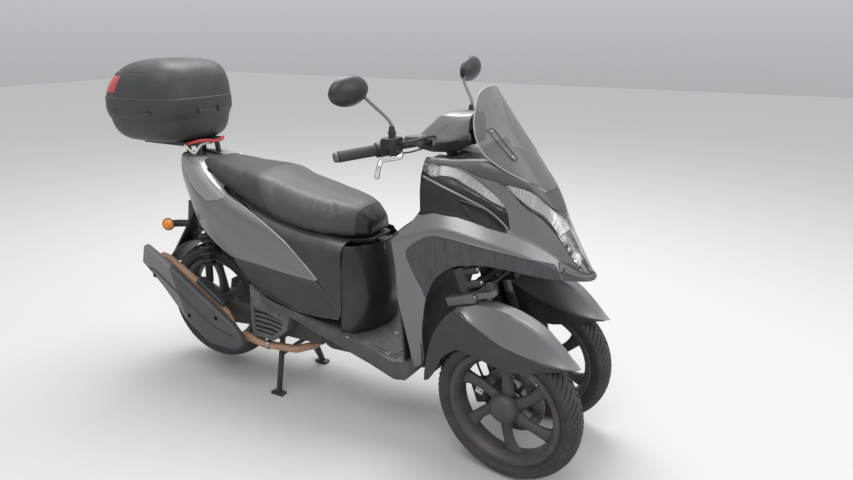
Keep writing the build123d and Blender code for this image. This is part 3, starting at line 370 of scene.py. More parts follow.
def turned(piece, matrix):
    """Moves a piece's mesh, so that its object stays at the origin."""
    piece.data.transform(matrix)
    if matrix.determinant() < 0:
        piece.data.flip_normals()
    return piece


def shifted(piece, x, y, z):
    """Moves a piece's mesh by millimetres."""
    return turned(piece, Matrix.Translation(Vector((x, y, z)) * MM))


def on_side(points, side):
    """Points given for the left side, taken to one side."""
    return [(x, side * y, z) for x, y, z in points]


def on_axis(distance, y=0.0, ahead=0.0):
    """A point at a distance up the steering axis from the ground, in millimetres."""
    return Vector((AXIS_FOOT_X, y, 0)) + AXIS_UP * distance + AXIS_FRONT * ahead


def steered(piece, y=0.0):
    """Turns a piece to where the steering rests, about the axis that stands at this y."""
    foot = Vector((AXIS_FOOT_X, y, 0)) * MM
    spin = Matrix.Rotation(radians(-STEER_REST), 4, AXIS_UP)
    return turned(piece, Matrix.Translation(foot) @ spin @ Matrix.Translation(-foot))


def through(points, steps, corners=()):
    """Points on a smooth line through the given ones, with a sharp turn at the corners."""
    line = []
    last = len(points) - 1
    for n in range(last):
        b, c = Vector(points[n]), Vector(points[n + 1])
        a = Vector(points[n - 1]) if n > 0 and n not in corners else b
        d = Vector(points[n + 2]) if n + 1 < last and n + 1 not in corners else c
        for k in range(steps):
            t = k / steps
            line.append(0.5 * (2 * b + (c - a) * t + (2 * a - 5 * b + 4 * c - d) * t * t
                               + (3 * b - a - 3 * c + d) * t ** 3))
    line.append(Vector(points[-1]))
    return line


def grid_faces(rows, columns, wrap_rows=False, wrap_columns=False):
    """Quads of a grid whose points run column by column within each row."""
    faces = []
    for r in range(rows if wrap_rows else rows - 1):
        for c in range(columns if wrap_columns else columns - 1):
            r2, c2 = (r + 1) % rows, (c + 1) % columns
            faces.append((r * columns + c, r * columns + c2, r2 * columns + c2, r2 * columns + c))
    return faces


def skin(name, sections, around, along, corners=()):
    """A smooth sheet through sections, each a list of points from the right bottom to the left bottom."""
    lines = [through(section, around, corners) for section in sections]
    rows = [through(line, along) for line in zip(*lines)]
    points = [point for row in rows for point in row]
    return from_faces(name, points, grid_faces(len(rows), len(rows[0])))


def both_sides(rows, crown=0.0):
    """A section from (z, half width) rows: up the right side, over the middle and down the left."""
    def build(x):
        right = [(x, -half, z) for z, half in rows]
        left = [(x, half, z) for z, half in reversed(rows)]
        return [*right, (x, 0, rows[-1][0] + crown), *left]
    return build


def form_sheet(name, table, around, along, corners=(), crown=0.0):
    """A body form as a smooth sheet that is open below."""
    rows = len(table[0]) - 1
    both = [*corners, *[2 * rows - n for n in corners]]
    sections = [both_sides(rows_at, crown)(x) for x, *rows_at in table]
    piece = skin(name, sections, around, along, both)
    face_away(piece)
    return piece


def face_away(piece, middle=None):
    """Turns a sheet's faces away from a place in metres, or else from the mean of its points."""
    if middle is None:
        points = [v.co for v in piece.data.vertices]
        middle = sum(points, Vector()) / len(points)
    score = sum(f.normal.dot(f.center - middle) * f.area for f in piece.data.polygons)
    if score < 0:
        piece.data.flip_normals()
    return piece


def closed_form(name, table, around, along, crown=0.0, corners=()):
    """A closed body lofted smoothly through a form's sections, with flat ends and bottom."""
    def close():
        bpy.ops.mesh.select_all(action="DESELECT")
        bpy.ops.mesh.select_non_manifold()
        bpy.ops.mesh.edge_face_add()
        bpy.ops.mesh.select_all(action="SELECT")
        bpy.ops.mesh.normals_make_consistent(inside=False)
    return in_edit_mode(form_sheet(name, table, around, along, corners, crown), close)


def prism(outline, low=-REACH, high=REACH):
    """A closed block: a side outline of (x, z) filled and extruded from one y to another."""
    block = from_faces("block", [(x, low, z) for x, z in outline], [tuple(range(len(outline)))])
    in_edit_mode(block, lambda: bpy.ops.mesh.extrude_region_move(
        TRANSFORM_OT_translate={"value": (0, (high - low) * MM, 0)}))
    return tidy(block, flat=0)


def swollen(outline, by):
    """An outline moved outwards by a distance."""
    area = sum(a[0] * b[1] - b[0] * a[1] for a, b in zip(outline, [*outline[1:], outline[0]]))
    sign = 1 if area > 0 else -1
    out = []
    for n, point in enumerate(outline):
        here, before, after = Vector(point), Vector(outline[n - 1]), Vector(outline[(n + 1) % len(outline)])
        first, second = (here - before).normalized(), (after - here).normalized()
        normal = Vector((first.y + second.y, -first.x - second.x)) * sign
        scale = max(normal.length_squared / 2, 0.35)
        out.append(tuple(here + normal / scale * by))
    return out


def soft_outline(outline, radius, steps=5, keep=()):
    """An outline with its corners rounded by arcs, apart from those kept sharp."""
    out = []
    for n, point in enumerate(outline):
        here, before, after = Vector(point), Vector(outline[n - 1]), Vector(outline[(n + 1) % len(outline)])
        if n in keep:
            out.append(tuple(here))
            continue
        cut = min(radius, (here - before).length * 0.45, (after - here).length * 0.45)
        start, end = here + (before - here).normalized() * cut, here + (after - here).normalized() * cut
        for k in range(steps + 1):
            t = k / steps
            out.append(tuple(start * (1 - t) ** 2 + here * 2 * t * (1 - t) + end * t * t))
    return out


def surface(piece):
    """A piece's surface, to send rays onto."""
    return BVHTree.FromObject(piece, bpy.context.evaluated_depsgraph_get())


def hit_on(tree, start, towards):
    """Where a ray meets a surface, in millimetres, or None."""
    spot = tree.ray_cast(Vector(start) * MM, Vector(towards))[0]
    return None if spot is None else tuple(spot / MM)


def hits_on(tree, starts, towards):
    """Where rays from several places meet a surface, without those that miss."""
    return [spot for spot in (hit_on(tree, start, towards) for start in starts) if spot]


def carve(piece, cutter, how="DIFFERENCE"):
    """Cuts a piece with a closed block, and deletes the block."""
    modify(piece, "BOOLEAN", object=cutter, operation=how, solver="EXACT")
    remove(cutter)
    return piece


def panel(shell, name, outline, gap=PANEL_GAP, low=-REACH, high=REACH):
    """Cuts a panel out of a shell along a side outline and leaves a gap round it."""
    piece = carve(copy_of(shell, name), prism(outline, low, high), "INTERSECT")
    carve(shell, prism(swollen(outline, gap), low, high))
    return piece


def tube(name, points, radius, smooth=True, ring=10, steps=6):
    """A round tube along points in millimetres."""
    curve = bpy.data.curves.new(name, "CURVE")
    curve.dimensions = "3D"
    curve.bevel_depth = radius * MM
    curve.bevel_resolution = max(ring // 4, 1)
    curve.use_fill_caps = True
    line = through(points, steps) if smooth else [Vector(p) for p in points]
    spline = curve.splines.new("POLY")
    spline.points.add(len(line) - 1)
    for spot, point in zip(spline.points, line):
        spot.co = (*(point * MM), 1)
    holder = bpy.data.objects.new(name, curve)
    bpy.context.scene.collection.objects.link(holder)
    mesh = bpy.data.meshes.new_from_object(holder.evaluated_get(bpy.context.evaluated_depsgraph_get()))
    remove(holder)
    piece = bpy.data.objects.new(name, mesh)
    bpy.context.scene.collection.objects.link(piece)
    return tidy(piece, flat=0, merge=0.01)


def lathe(name, profile, count=48, closed=False):
    """A profile of (radius, y) spun about the Y axis at the origin; closed joins its two ends."""
    last = len(profile) - 1
    edges = [(n, n + 1) for n in range(last)]
    if closed:
        edges.append((last, 0))
    piece = from_faces(name, [(r, y, 0) for r, y in profile], [], edges)
    in_edit_mode(piece, lambda: bpy.ops.mesh.spin(
        steps=count, angle=-2 * pi, center=(0, 0, 0), axis=(0, 1, 0)))
    return tidy(piece, flat=0)


def aimed(piece, start, along):
    """Turns a piece made along +Y so that it starts at a point and runs along a direction, in millimetres."""
    spin = Vector((0, 1, 0)).rotation_difference(Vector(along)).to_matrix().to_4x4()
    return turned(piece, Matrix.Translation(Vector(start) * MM) @ spin)


def screw_head(name, spot, along, radius=5.0, deep=2.0):
    """A domed screw head with a round socket."""
    profile = [(0, -deep), (radius * 0.42, -deep), (radius * 0.48, 0), (radius * 0.8, 0.2),
               (radius, -deep * 0.6), (radius, -deep * 2), (0, -deep * 2)]
    return aimed(lathe(name, [(r, y + deep) for r, y in profile], 12), spot, along)


def beaded(name, size, spot, width=2.0, steps=2, turn=(0, 0, 0)):
    """A box with rounded edges, its size and place in millimetres."""
    bpy.ops.mesh.primitive_cube_add(size=1, location=(0, 0, 0))
    piece = bpy.context.active_object
    piece.name = name
    turned(piece, Matrix.Diagonal((*(Vector(size) * MM), 1)))
    rounded(piece, width, steps)
    spin = Matrix.Rotation(radians(turn[2]), 4, "Z") @ Matrix.Rotation(radians(turn[1]), 4, "Y")
    spin = spin @ Matrix.Rotation(radians(turn[0]), 4, "X")
    return turned(piece, Matrix.Translation(Vector(spot) * MM) @ spin)


def ball(name, spot, size, rings=16):
    """An ellipsoid from its half sizes."""
    bpy.ops.mesh.primitive_uv_sphere_add(segments=2 * rings, ring_count=rings, radius=1, location=(0, 0, 0))
    piece = bpy.context.active_object
    piece.name = name
    turned(piece, Matrix.Diagonal((*(Vector(size) * MM), 1)))
    return shifted(piece, *spot)


def dress(piece, paint, node, hides=True, angle=38):
    """Gives a piece its finish and lets it ride with a node's body, in that node's place or beside it."""
    piece.data.materials.clear()
    piece.data.materials.append(paint)
    only(piece)
    bpy.ops.object.shade_smooth_by_angle(angle=radians(angle))
    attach(piece, BODY_OF[node])
    if hides:
        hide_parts(node)
    return piece


def moulded(node, paint, width=1.5, steps=2, angle=30, flat=0.6):
    """A node's own shape with its edges rounded, in the node's place."""
    piece = tidy(copy_of(NODES[node], node + "_moulded"), flat=flat)
    rounded(piece, width, steps, angle)
    return dress(piece, paint, node)


# Finishes

DUST = (0.30, 0.27, 0.23)


def feed(tree, node, inputs):
    """Gives a shader node's inputs, by name or number, their values or other nodes' outputs."""
    for key, value in inputs.items():
        if isinstance(value, bpy.types.NodeSocket):
            tree.links.new(value, node.inputs[key])
        else:
            node.inputs[key].default_value = value


def add_node(tree, kind, inputs=None, **settings):
    """Adds a shader node with these inputs and settings, and returns its outputs."""
    node = tree.nodes.new("ShaderNode" + kind)
    for key, value in settings.items():
        setattr(node, key, value)
    feed(tree, node, inputs or {})
    return node.outputs


def finish(name, colour, rough, metal=0.0, coat=0.0, dust=0.0, dust_colour=DUST, grain=0.0, grain_size=900,
           mottle=0.12, mottle_size=7.0, streaks=0.0, alpha=1.0, glass=0.0, coat_rough=0.2, top_dust=0.5):
    """A finish with uneven colour and roughness, dust that lies thicker on top, streaks and fine grain."""
    paint = bpy.data.materials.new(name)
    paint.use_nodes = True
    tree = paint.node_tree
    place = add_node(tree, "TexCoord")
    blotch = add_node(tree, "TexNoise", {"Scale": mottle_size, "Detail": 8, "Vector": place["Object"]})["Fac"]
    darker, lighter = [(*[c * change for c in colour], 1) for change in (1 - mottle, 1 + mottle)]
    result = add_node(tree, "Mix", {0: blotch, 6: darker, 7: lighter}, data_type="RGBA")[2]
    if dust or streaks:
        where = place["Object"]
        if streaks:
            where = add_node(tree, "Mapping", {"Scale": (5, 5, 0.7), "Vector": where})["Vector"]
        patch = add_node(tree, "TexNoise", {"Scale": 16, "Detail": 10, "Roughness": 0.65, "Vector": where})
        split = add_node(tree, "SeparateXYZ", {0: place["Normal"]})
        upward = add_node(tree, "MapRange", {"From Min": -0.2, "From Max": 1.0, "To Min": 1 - top_dust,
                                             "Value": split["Z"]})
        level = add_node(tree, "MapRange", {"From Min": 0.42, "From Max": 0.78, "To Max": max(dust, streaks),
                                            "Value": patch["Fac"]})
        amount = add_node(tree, "Math", {0: upward[0], 1: level[0]}, operation="MULTIPLY")
        result = add_node(tree, "Mix", {0: amount[0], 6: result, 7: (*dust_colour, 1)}, data_type="RGBA")[2]
    gloss = add_node(tree, "MapRange", {"To Min": max(rough - 0.06, 0.02), "To Max": min(rough + 0.12, 1),
                                        "Value": blotch})
    settings = {"Base Color": result, "Roughness": gloss[0], "Metallic": metal, "Coat Weight": coat,
                "Coat Roughness": coat_rough, "Alpha": alpha, "Transmission Weight": glass}
    if grain:
        fine = add_node(tree, "TexNoise", {"Scale": grain_size, "Detail": 3, "Vector": place["Object"]})
        bump = add_node(tree, "Bump", {"Strength": grain, "Distance": 0.0006, "Height": fine["Fac"]})
        settings["Normal"] = bump["Normal"]
    feed(tree, tree.nodes["Principled BSDF"], settings)
    return paint


GREY = finish("satin_grey_paint", (0.19, 0.192, 0.197), 0.32, metal=0.7, coat=0.15, dust=0.10, grain=0.12,
              grain_size=2600, mottle=0.06)
# Painted highlight: a lighter grey for the tail strip and the upper edge line of the side panels, where the
# light band runs along their top edge
HIGHLIGHT_GREY = finish("painted_highlight_grey", (0.30, 0.30, 0.305), 0.34, metal=0.5, dust=0.08, mottle=0.06)
DARK_GREY = finish("dark_grey_paint", (0.075, 0.077, 0.082), 0.36, metal=0.4, coat=0.1, dust=0.16, grain=0.1,
                   grain_size=2400)
CHARCOAL = finish("charcoal_plastic", (0.024, 0.026, 0.030), 0.42, dust=0.10, grain=0.25, grain_size=1500)
FLANGE = finish("streaked_flange", (0.062, 0.066, 0.075), 0.5, metal=0.1, streaks=0.75,
                dust_colour=(0.016, 0.017, 0.020), grain=0.2, top_dust=0.0)
BLACK = finish("black_gloss_panel", (0.007, 0.007, 0.009), 0.2, dust=0.05, mottle=0.3)
PEDESTAL = finish("pedestal_plastic", (0.018, 0.019, 0.021), 0.3, dust=0.08, grain=0.1)
FLOOR = finish("floor_plastic", (0.050, 0.052, 0.055), 0.55, dust=0.32, grain=0.6, grain_size=700)
HIDDEN = finish("inner_plastic", (0.016, 0.016, 0.018), 0.6, dust=0.2, grain=0.3)
CASE = finish("case_plastic", (0.036, 0.037, 0.041), 0.46, dust=0.30, dust_colour=(0.20, 0.20, 0.20),
              grain=0.5, grain_size=1100, top_dust=0.9, mottle=0.2)
TYRE = finish("tyre_rubber", (0.030, 0.029, 0.029), 0.74, dust=0.22, dust_colour=(0.16, 0.14, 0.12),
              grain=0.3, grain_size=500, top_dust=0.0)
RIM = finish("dusty_rim_paint", (0.060, 0.053, 0.050), 0.5, metal=0.25, dust=0.34,
             dust_colour=(0.15, 0.12, 0.10), grain=0.2, grain_size=700, top_dust=0.0)
FRAME_STEEL = finish("black_frame_paint", (0.018, 0.018, 0.019), 0.42, dust=0.22)
CAST = finish("cast_metal", (0.16, 0.155, 0.15), 0.5, metal=0.7, dust=0.4, dust_colour=(0.10, 0.08, 0.06),
              grain=0.8, grain_size=420)
ENGINE = finish("engine_metal", (0.075, 0.073, 0.07), 0.6, metal=0.5, dust=0.45,
                dust_colour=(0.12, 0.10, 0.08), grain=0.9, grain_size=350)
LINK = finish("link_steel", (0.035, 0.034, 0.034), 0.45, metal=0.3, dust=0.35,
              dust_colour=(0.13, 0.10, 0.075), grain=0.4)
DISC = finish("disc_steel", (0.17, 0.16, 0.15), 0.5, metal=0.9, dust=0.4, dust_colour=(0.10, 0.08, 0.06),
              mottle=0.2, mottle_size=30)
PLATE = finish("zinc_plate", (0.62, 0.62, 0.60), 0.4, metal=0.3, mottle=0.1, mottle_size=60)
EXHAUST = finish("rusty_can", (0.40, 0.24, 0.155), 0.62, metal=0.25, dust=0.35,
                 dust_colour=(0.20, 0.10, 0.055), mottle=0.25, mottle_size=18, grain=0.6, grain_size=500)
BLACK_METAL = finish("black_bar_metal", (0.02, 0.02, 0.021), 0.38, metal=0.2, dust=0.15)
CHROME = finish("polished_lever", (0.72, 0.72, 0.72), 0.16, metal=1.0, mottle=0.05)
STEEL = finish("bolt_steel", (0.34, 0.33, 0.32), 0.36, metal=1.0, dust=0.2)
STEM = finish("mirror_stem_paint", (0.16, 0.16, 0.17), 0.35, metal=0.3)
GRIP = finish("grip_rubber", (0.028, 0.028, 0.030), 0.6, dust=0.18)
GRIP_END = finish("bar_end_grey", (0.11, 0.11, 0.12), 0.45, metal=0.2)
MIRROR_SHELL = finish("mirror_shell_plastic", (0.022, 0.022, 0.027), 0.36, dust=0.12, grain=0.2)
MIRROR_GLASS = finish("mirror_glass", (0.8, 0.8, 0.82), 0.03, metal=1.0, mottle=0.02)
HOSE = finish("hose_rubber", (0.016, 0.016, 0.016), 0.45)
LENS = finish("clear_lens", (0.96, 0.96, 0.93), 0.05, glass=1.0, mottle=0.02)
BOWL = finish("lamp_reflector", (0.82, 0.83, 0.84), 0.2, metal=0.72, mottle=0.08, mottle_size=60, grain=0.5,
              grain_size=160)
LAMP_DARK = finish("lamp_housing", (0.10, 0.10, 0.105), 0.35, metal=0.5)
AMBER = finish("amber_lens", (0.80, 0.24, 0.02), 0.2, coat=0.4, mottle=0.1, mottle_size=40)
RED = finish("red_lens", (0.42, 0.012, 0.012), 0.18, coat=0.5, mottle=0.1)
SHOCK = finish("spring_paint", (0.030, 0.030, 0.032), 0.62, dust=0.10)
LOUVRE = finish("radiator_plastic", (0.080, 0.078, 0.075), 0.62, dust=0.45, grain=0.4, top_dust=0.25)
GLOVE = finish("nose_insert_vinyl", (0.016, 0.016, 0.018), 0.30, mottle=0.2, grain=0.2, grain_size=500)
STRAP_WHITE = finish("strap_hem", (0.55, 0.50, 0.46), 0.8, mottle=0.15, mottle_size=60)


def screen_finish():
    """Hazy, scratched clear plastic."""
    paint = finish("hazy_screen", (0.15, 0.145, 0.14), 0.26, coat=0.3, mottle=0.25, alpha=0.7)
    tree = paint.node_tree
    place = add_node(tree, "TexCoord")
    scratch = add_node(tree, "TexNoise", {"Scale": 11, "Detail": 10, "Vector": place["Object"]})
    haze = add_node(tree, "MapRange", {"From Min": 0.3, "From Max": 0.75, "To Min": 0.58, "To Max": 0.82,
                                       "Value": scratch["Fac"]})
    feed(tree, tree.nodes["Principled BSDF"], {"Alpha": haze[0]})
    return paint


SCREEN = screen_finish()
SCREEN_EDGE = finish("screen_edge", (0.36, 0.35, 0.33), 0.3, coat=0.2)
SEAT_RIDER = finish("seat_vinyl", (0.050, 0.051, 0.055), 0.42, dust=0.10, dust_colour=(0.12, 0.12, 0.12),
                    grain=0.5, grain_size=650)
SEAT_REAR = finish("passenger_vinyl", (0.030, 0.030, 0.033), 0.52, dust=0.12, dust_colour=(0.10, 0.10, 0.10),
                   grain=1.0, grain_size=420)
STRAP = finish("strap_weave", (0.46, 0.045, 0.04), 0.8, mottle=0.35, mottle_size=120)


# Front body

def front_body():
    """The cowl and the panels and lamps in its skin, cut along the real gaps."""
    shell = form_sheet("front_shell", FRONT_FORM, 5, 5, (2, 3), crown=3)
    pocket = form_sheet("lamp_pocket", [(x - 10, *[(z - 12, max(half - 22, 3)) for z, half in rows])
                                        for x, *rows in FRONT_FORM], 4, 4, crown=2)
    modify(shell, "SOLIDIFY", thickness=SKIN * MM, offset=-1)
    modify(pocket, "SOLIDIFY", thickness=SKIN * MM, offset=-1)
    carve(shell, prism(COWL_BACK))
    flange = panel(shell, "cowl_flange", soft_outline(FLANGE_OUTLINE, 24, 3), gap=1.0)
    for piece in (shell, flange):
        carve(piece, prism(soft_outline(ARCH_OUTLINE, 30)))
    garnish = panel(shell, "screen_garnish_skin", GARNISH_OUTLINE)
    stem_gap = aimed(lathe("stem_gap", [(0, 0), (52, 0), (52, 150), (0, 150)], 32), on_axis(1000), AXIS_UP)
    carve(garnish, stem_gap)
    parts = {"screen_garnish": (garnish, DARK_GREY)}
    for node, name, outline, paint in (
            ("headlamp", "headlamp_lens", soft_outline(HEADLAMP_OUTLINE, 12), LENS),
            ("side_lamps", "side_lamp_lenses", soft_outline(SIDE_LAMP_OUTLINE, 14), LENS),
            ("nose_lip", "nose_lip_skin", NOSE_LIP_OUTLINE, DARK_GREY),
            ("shoulder_panels", "shoulder_panel_skins", soft_outline(SHOULDER_PANEL_OUTLINE, 6), BLACK)):
        parts[node] = (panel(shell, name, outline), paint)
    carve(parts["shoulder_panels"][0], prism(soft_outline(VENT_OUTLINE, 10, 3)))
    parts["front_cowl"] = (shell, GREY)
    shell.name = "cowl_skin"
    for node, (piece, paint) in parts.items():
        rounded(piece, 1.0, 2, 50)
        dress(piece, paint, node, angle=50)
    dress(flange, FLANGE, "front_cowl", angle=50)
    for name, outline, node, paint in (("headlamp_pocket", HEADLAMP_OUTLINE, "headlamp", LAMP_DARK),
                                       ("side_lamp_pockets", SIDE_LAMP_OUTLINE, "side_lamps", BOWL)):
        inner = carve(copy_of(pocket, name), prism(swollen(outline, -3)), "INTERSECT")
        dress(inner, paint, node, hides=False)
    remove(pocket)
    for name, side in SIDES:
        line = [(x, side * (front_half(x, z) + 0.5), z) for x, z in SHOULDER_STRIP]
        dress(tube("shoulder_strip_" + name, line, 3.8, ring=12), GREY, "shoulder_panels", hides=False)
        edge = [(x, side * (front_half(x, z) + 0.2), z)
                for x, z in soft_outline(FLANGE_OUTLINE, 24)[:44] if x < 854]
        dress(tube("flange_border_" + name, edge, 2.2, smooth=False, ring=8), GREY, "front_cowl", hides=False)
    roll = []
    for side in (-1, 1):
        half = [(866, side * 84, 684), (888, side * 66, 668), (914, side * 42, 656), (936, side * 16, 651)]
        roll += half if side < 0 else [(941, 0, 650), *reversed(half)]
    dress(tube("nose_lip_roll", roll, 11, ring=20), DARK_GREY, "nose_lip", hides=False)


def half_width(form, corners, x, z):
    """Half width of a body form at a place on its side, found by a ray onto its smooth sheet."""
    if id(form) not in SKINS:
        sheet = form_sheet("measured_sheet", form, 5, 6, corners)
        SKINS[id(form)] = surface(sheet)
        remove(sheet)
    spot = hit_on(SKINS[id(form)], (x, -REACH, z), (0, 1, 0))
    return -spot[1] if spot else 100.0


def front_half(x, z):
    """Half width of the front form at a place on its side."""
    return half_width(FRONT_FORM, (2, 3), x, z)


def prism_sheet(name, low, high, deep, side, count=64):
    """A bright ribbed sheet between two lines of (x, z), under the lens on one side."""
    lines = []
    for line in (low, high):
        smooth = through([(x, z, 0) for x, z in line], 24)
        lines.append([smooth[round(n * (len(smooth) - 1) / (count - 1))] for n in range(count)])
    points = []
    for n in range(count):
        for line in lines:
            x, z = line[n].x, line[n].y
            points.append((x, side * (front_half(x, z) - deep - (n % 2) * 4), z))
    return modify(from_faces(name, points, grid_faces(count, 2)), "SOLIDIFY", thickness=1 * MM, offset=0)


def lamp_bowls():
    """Reflector bowls, ribbed strips and bright bars behind the clear lenses."""
    for name, side in SIDES:
        for part, lines, node in (("side_lamp", LAMP_PRISMS, "side_lamps"),
                                  ("headlamp", NOSE_PRISMS, "headlamp")):
            sheet = prism_sheet("%s_prisms_%s" % (part, name), *lines, side)
            dress(sheet, BOWL, node, hides=False, angle=10)
        y = side * (front_half(466, 965) - 16)
        bowl = lathe("side_lamp_bowl_" + name, SIDE_BOWL, 24, True)
        dress(aimed(bowl, (462, y, 962), (0.55, side * 0.75, 0.3)), BOWL, "side_lamps", hides=False)
        pieces = []
        for x, z in ((848, 800), (880, 740)):
            y = side * max(front_half(x, z) - 20, 12)
            pieces.append(ball("bar", (x - 14, y, z - 10), (5, 6, 13), 12))
        for x, z, size in ((896, 706, 20), (852, 764, 17)):
            bowl_y = side * max(front_half(x, z) - 26, 12)
            bowl = lathe("bowl", [(size * share, y) for share, y in NOSE_BOWL], 24, True)
            pieces.append(aimed(bowl, (x - 22, bowl_y, z - 6), (0.8, side * 0.35, 0.35)))
        dress(join("headlamp_bowls_" + name, pieces), BOWL, "headlamp", hides=False)


def vents():
    """The dark triangular recess in each shoulder panel, with a raised border."""
    for name, side in SIDES:
        rim = [(x, side * (front_half(x, z) + 0.5), z) for x, z in soft_outline(VENT_OUTLINE, 10, 3)]
        border = tube("vent_border_" + name, [*rim, rim[0], rim[1]], 2.8, smooth=False, ring=8)
        dress(border, BLACK, "shoulder_panels", hides=False)
        middle = Vector([sum(p[k] for p in rim) / len(rim) for k in range(3)]) - Vector((4, side * 15, 0))
        count = len(rim)
        points = [(x, y - side * 2, z) for x, y, z in rim]
        points += [tuple(Vector(p).lerp(middle, 0.3) - Vector((0, side * 8, 0))) for p in rim]
        faces = [(n, (n + 1) % count, count + (n + 1) % count, count + n) for n in range(count)]
        faces += [(count + n, count + (n + 1) % count, 2 * count) for n in range(count)]
        recess = from_faces("vent_recess_" + name, [*points, tuple(middle)], faces)
        dress(modify(recess, "SOLIDIFY", thickness=0.001, offset=0), HIDDEN, "shoulder_panels", hides=False)


def windscreen():
    """The single-curved screen, rounded at its top, with its slots and screws."""
    slope = (SCREEN_TOP[0] - SCREEN_LOW[0]) / (SCREEN_TOP[1] - SCREEN_LOW[1])

    def on_screen(y, z, proud=0.4):
        x = SCREEN_LOW[0] + (z - SCREEN_LOW[1]) * slope - SCREEN_R + (SCREEN_R ** 2 - y * y) ** 0.5
        return x + proud, y, z
    edge = through([(z, half, 0) for z, half in SCREEN_OUTLINE], 5)
    columns = 25
    points = []
    for spot in edge:
        z, half = spot.x, max(spot.y, 2)
        points += [on_screen(half * (2 * c / (columns - 1) - 1), z, 0) for c in range(columns)]
    screen = from_faces("windscreen_sheet", points, grid_faces(len(edge), columns))
    face_away(screen)
    modify(screen, "SOLIDIFY", thickness=4 * MM, offset=-1)
    tidy(screen, flat=0)
    dress(rounded(screen, 1.2, 2, 50), SCREEN, "windscreen")
    rim = [on_screen(side * max(spot.y, 0) * 0.995, spot.x, -1.6) for side in (-1, 1)
           for spot in (edge if side < 0 else list(reversed(edge)))]
    trim = tube("screen_edge", [*rim, rim[0]], 2.0, smooth=False, ring=8)
    dress(trim, SCREEN_EDGE, "windscreen", hides=False)
    for name, side in SIDES:
        ring = []
        for n in range(24):
            turn = 2 * pi * n / 24
            y, z = SCREEN_SLOT[0] if sin(turn) > 0 else SCREEN_SLOT[1]
            ring.append(on_screen(side * (y + SCREEN_SLOT_R * cos(turn)), z + SCREEN_SLOT_R * sin(turn)))
        slot = tube("screen_slot_" + name, [*ring, ring[0]], 2.4, smooth=False, ring=8)
        dress(slot, DARK_GREY, "windscreen", hides=False)
        for n, (y, z) in enumerate(SCREEN_SLOT):
            spot = on_screen(side * y, z)
            head = screw_head("screen_screw_%s_%d" % (name, n), spot, (0.8, side * 0.3, 0.5), 6)
            dress(head, STEEL, "windscreen", hides=False)


def fenders():
    """Each front fender: a grey crested top and a dark side with a mudflap behind."""
    for name, side in SIDES:
        node = "front_fender_" + name
        stations = []
        for crest, ridge, edge, crease, low, half in FENDER_STATIONS:
            spots = (low, crease, edge, ridge, crest)
            stations.append([(x, half * share, z) for (x, z), share in zip(spots, FENDER_SHARES)])
        grey = FENDER_GREY_FROM
        for part, first, last, rows, paint, wall in (("top", 2, 4, stations[grey:], GREY, 4.6),
                                                     ("side", 0, 2, stations, CHARCOAL, 3),
                                                     ("back", 2, 4, stations[:grey + 1], CHARCOAL, 3)):
            pieces = []
            for hand in (-1, 1):
                sections = [[(x, hand * y, z) for x, y, z in row[first:last + 1]] for row in rows]
                sheet = skin("sheet", sections, 5, 4, (1,))
                pieces.append(face_away(sheet, FENDER_MIDDLE))
            piece = join("%s_%s" % (node, part), pieces)
            in_edit_mode(piece, lambda: bpy.ops.mesh.remove_doubles(threshold=0.05 * MM))
            modify(piece, "SOLIDIFY", thickness=wall * MM, offset=-0.3 if part == "top" else -1)
            rounded(piece, 0.9, 2, 50)
            shifted(piece, 0, side * FRONT_HUB[1], 0)
            dress(steered(piece, side * FRONT_HUB[1]), paint, node, angle=40)


# Wheels

def tyre(name, radius, half, pitches):
    """A tyre whose slanted tread grooves run along its mesh lines."""
    profile = through([(BEAD_R, -34, 0), (194, -35, 0), (199, -half * 0.9, 0), (201, -half * 0.84, 0),
                       (radius - 36, -half + 0.6, 0), (radius - 34, -half + 2, 0), (radius - 22, -half, 0),
                       (radius - 7, -half * 0.68, 0), (radius - 1, -half * 0.26, 0), (radius, 0, 0)], 5)
    right = [(p.x, p.y) for p in profile]
    rows = right + [(r, -y) for r, y in reversed(right[:-1])]
    steps = (0.0, 0.04, 0.16, 0.20, 0.34, 0.5, 0.54, 0.66, 0.70, 0.84)
    grooves = {1: (0.08, 0.86), 2: (0.08, 0.86), 6: (0.30, 0.97), 7: (0.30, 0.97)}
    points = []
    for pitch in range(pitches):
        for n, share in enumerate(steps):
            for r, y in rows:
                across = abs(y) / half
                lean = 0.55 * across ** 1.4 * (2 * pi / pitches) * 1.7
                turn = (pitch + share) * 2 * pi / pitches - lean + (0.5 * 2 * pi / pitches if y > 0 else 0)
                low, high = grooves.get(n, (2, 2))
                tread = r > radius - 24
                r2 = min(r, radius) - (5 if tread and low < across < high else 0)
                points.append((r2 * cos(turn), y, r2 * sin(turn)))
    count = pitches * len(steps)
    piece = from_faces(name, points, grid_faces(count, len(rows), wrap_rows=True, wrap_columns=True))
    return tidy(piece, flat=0)


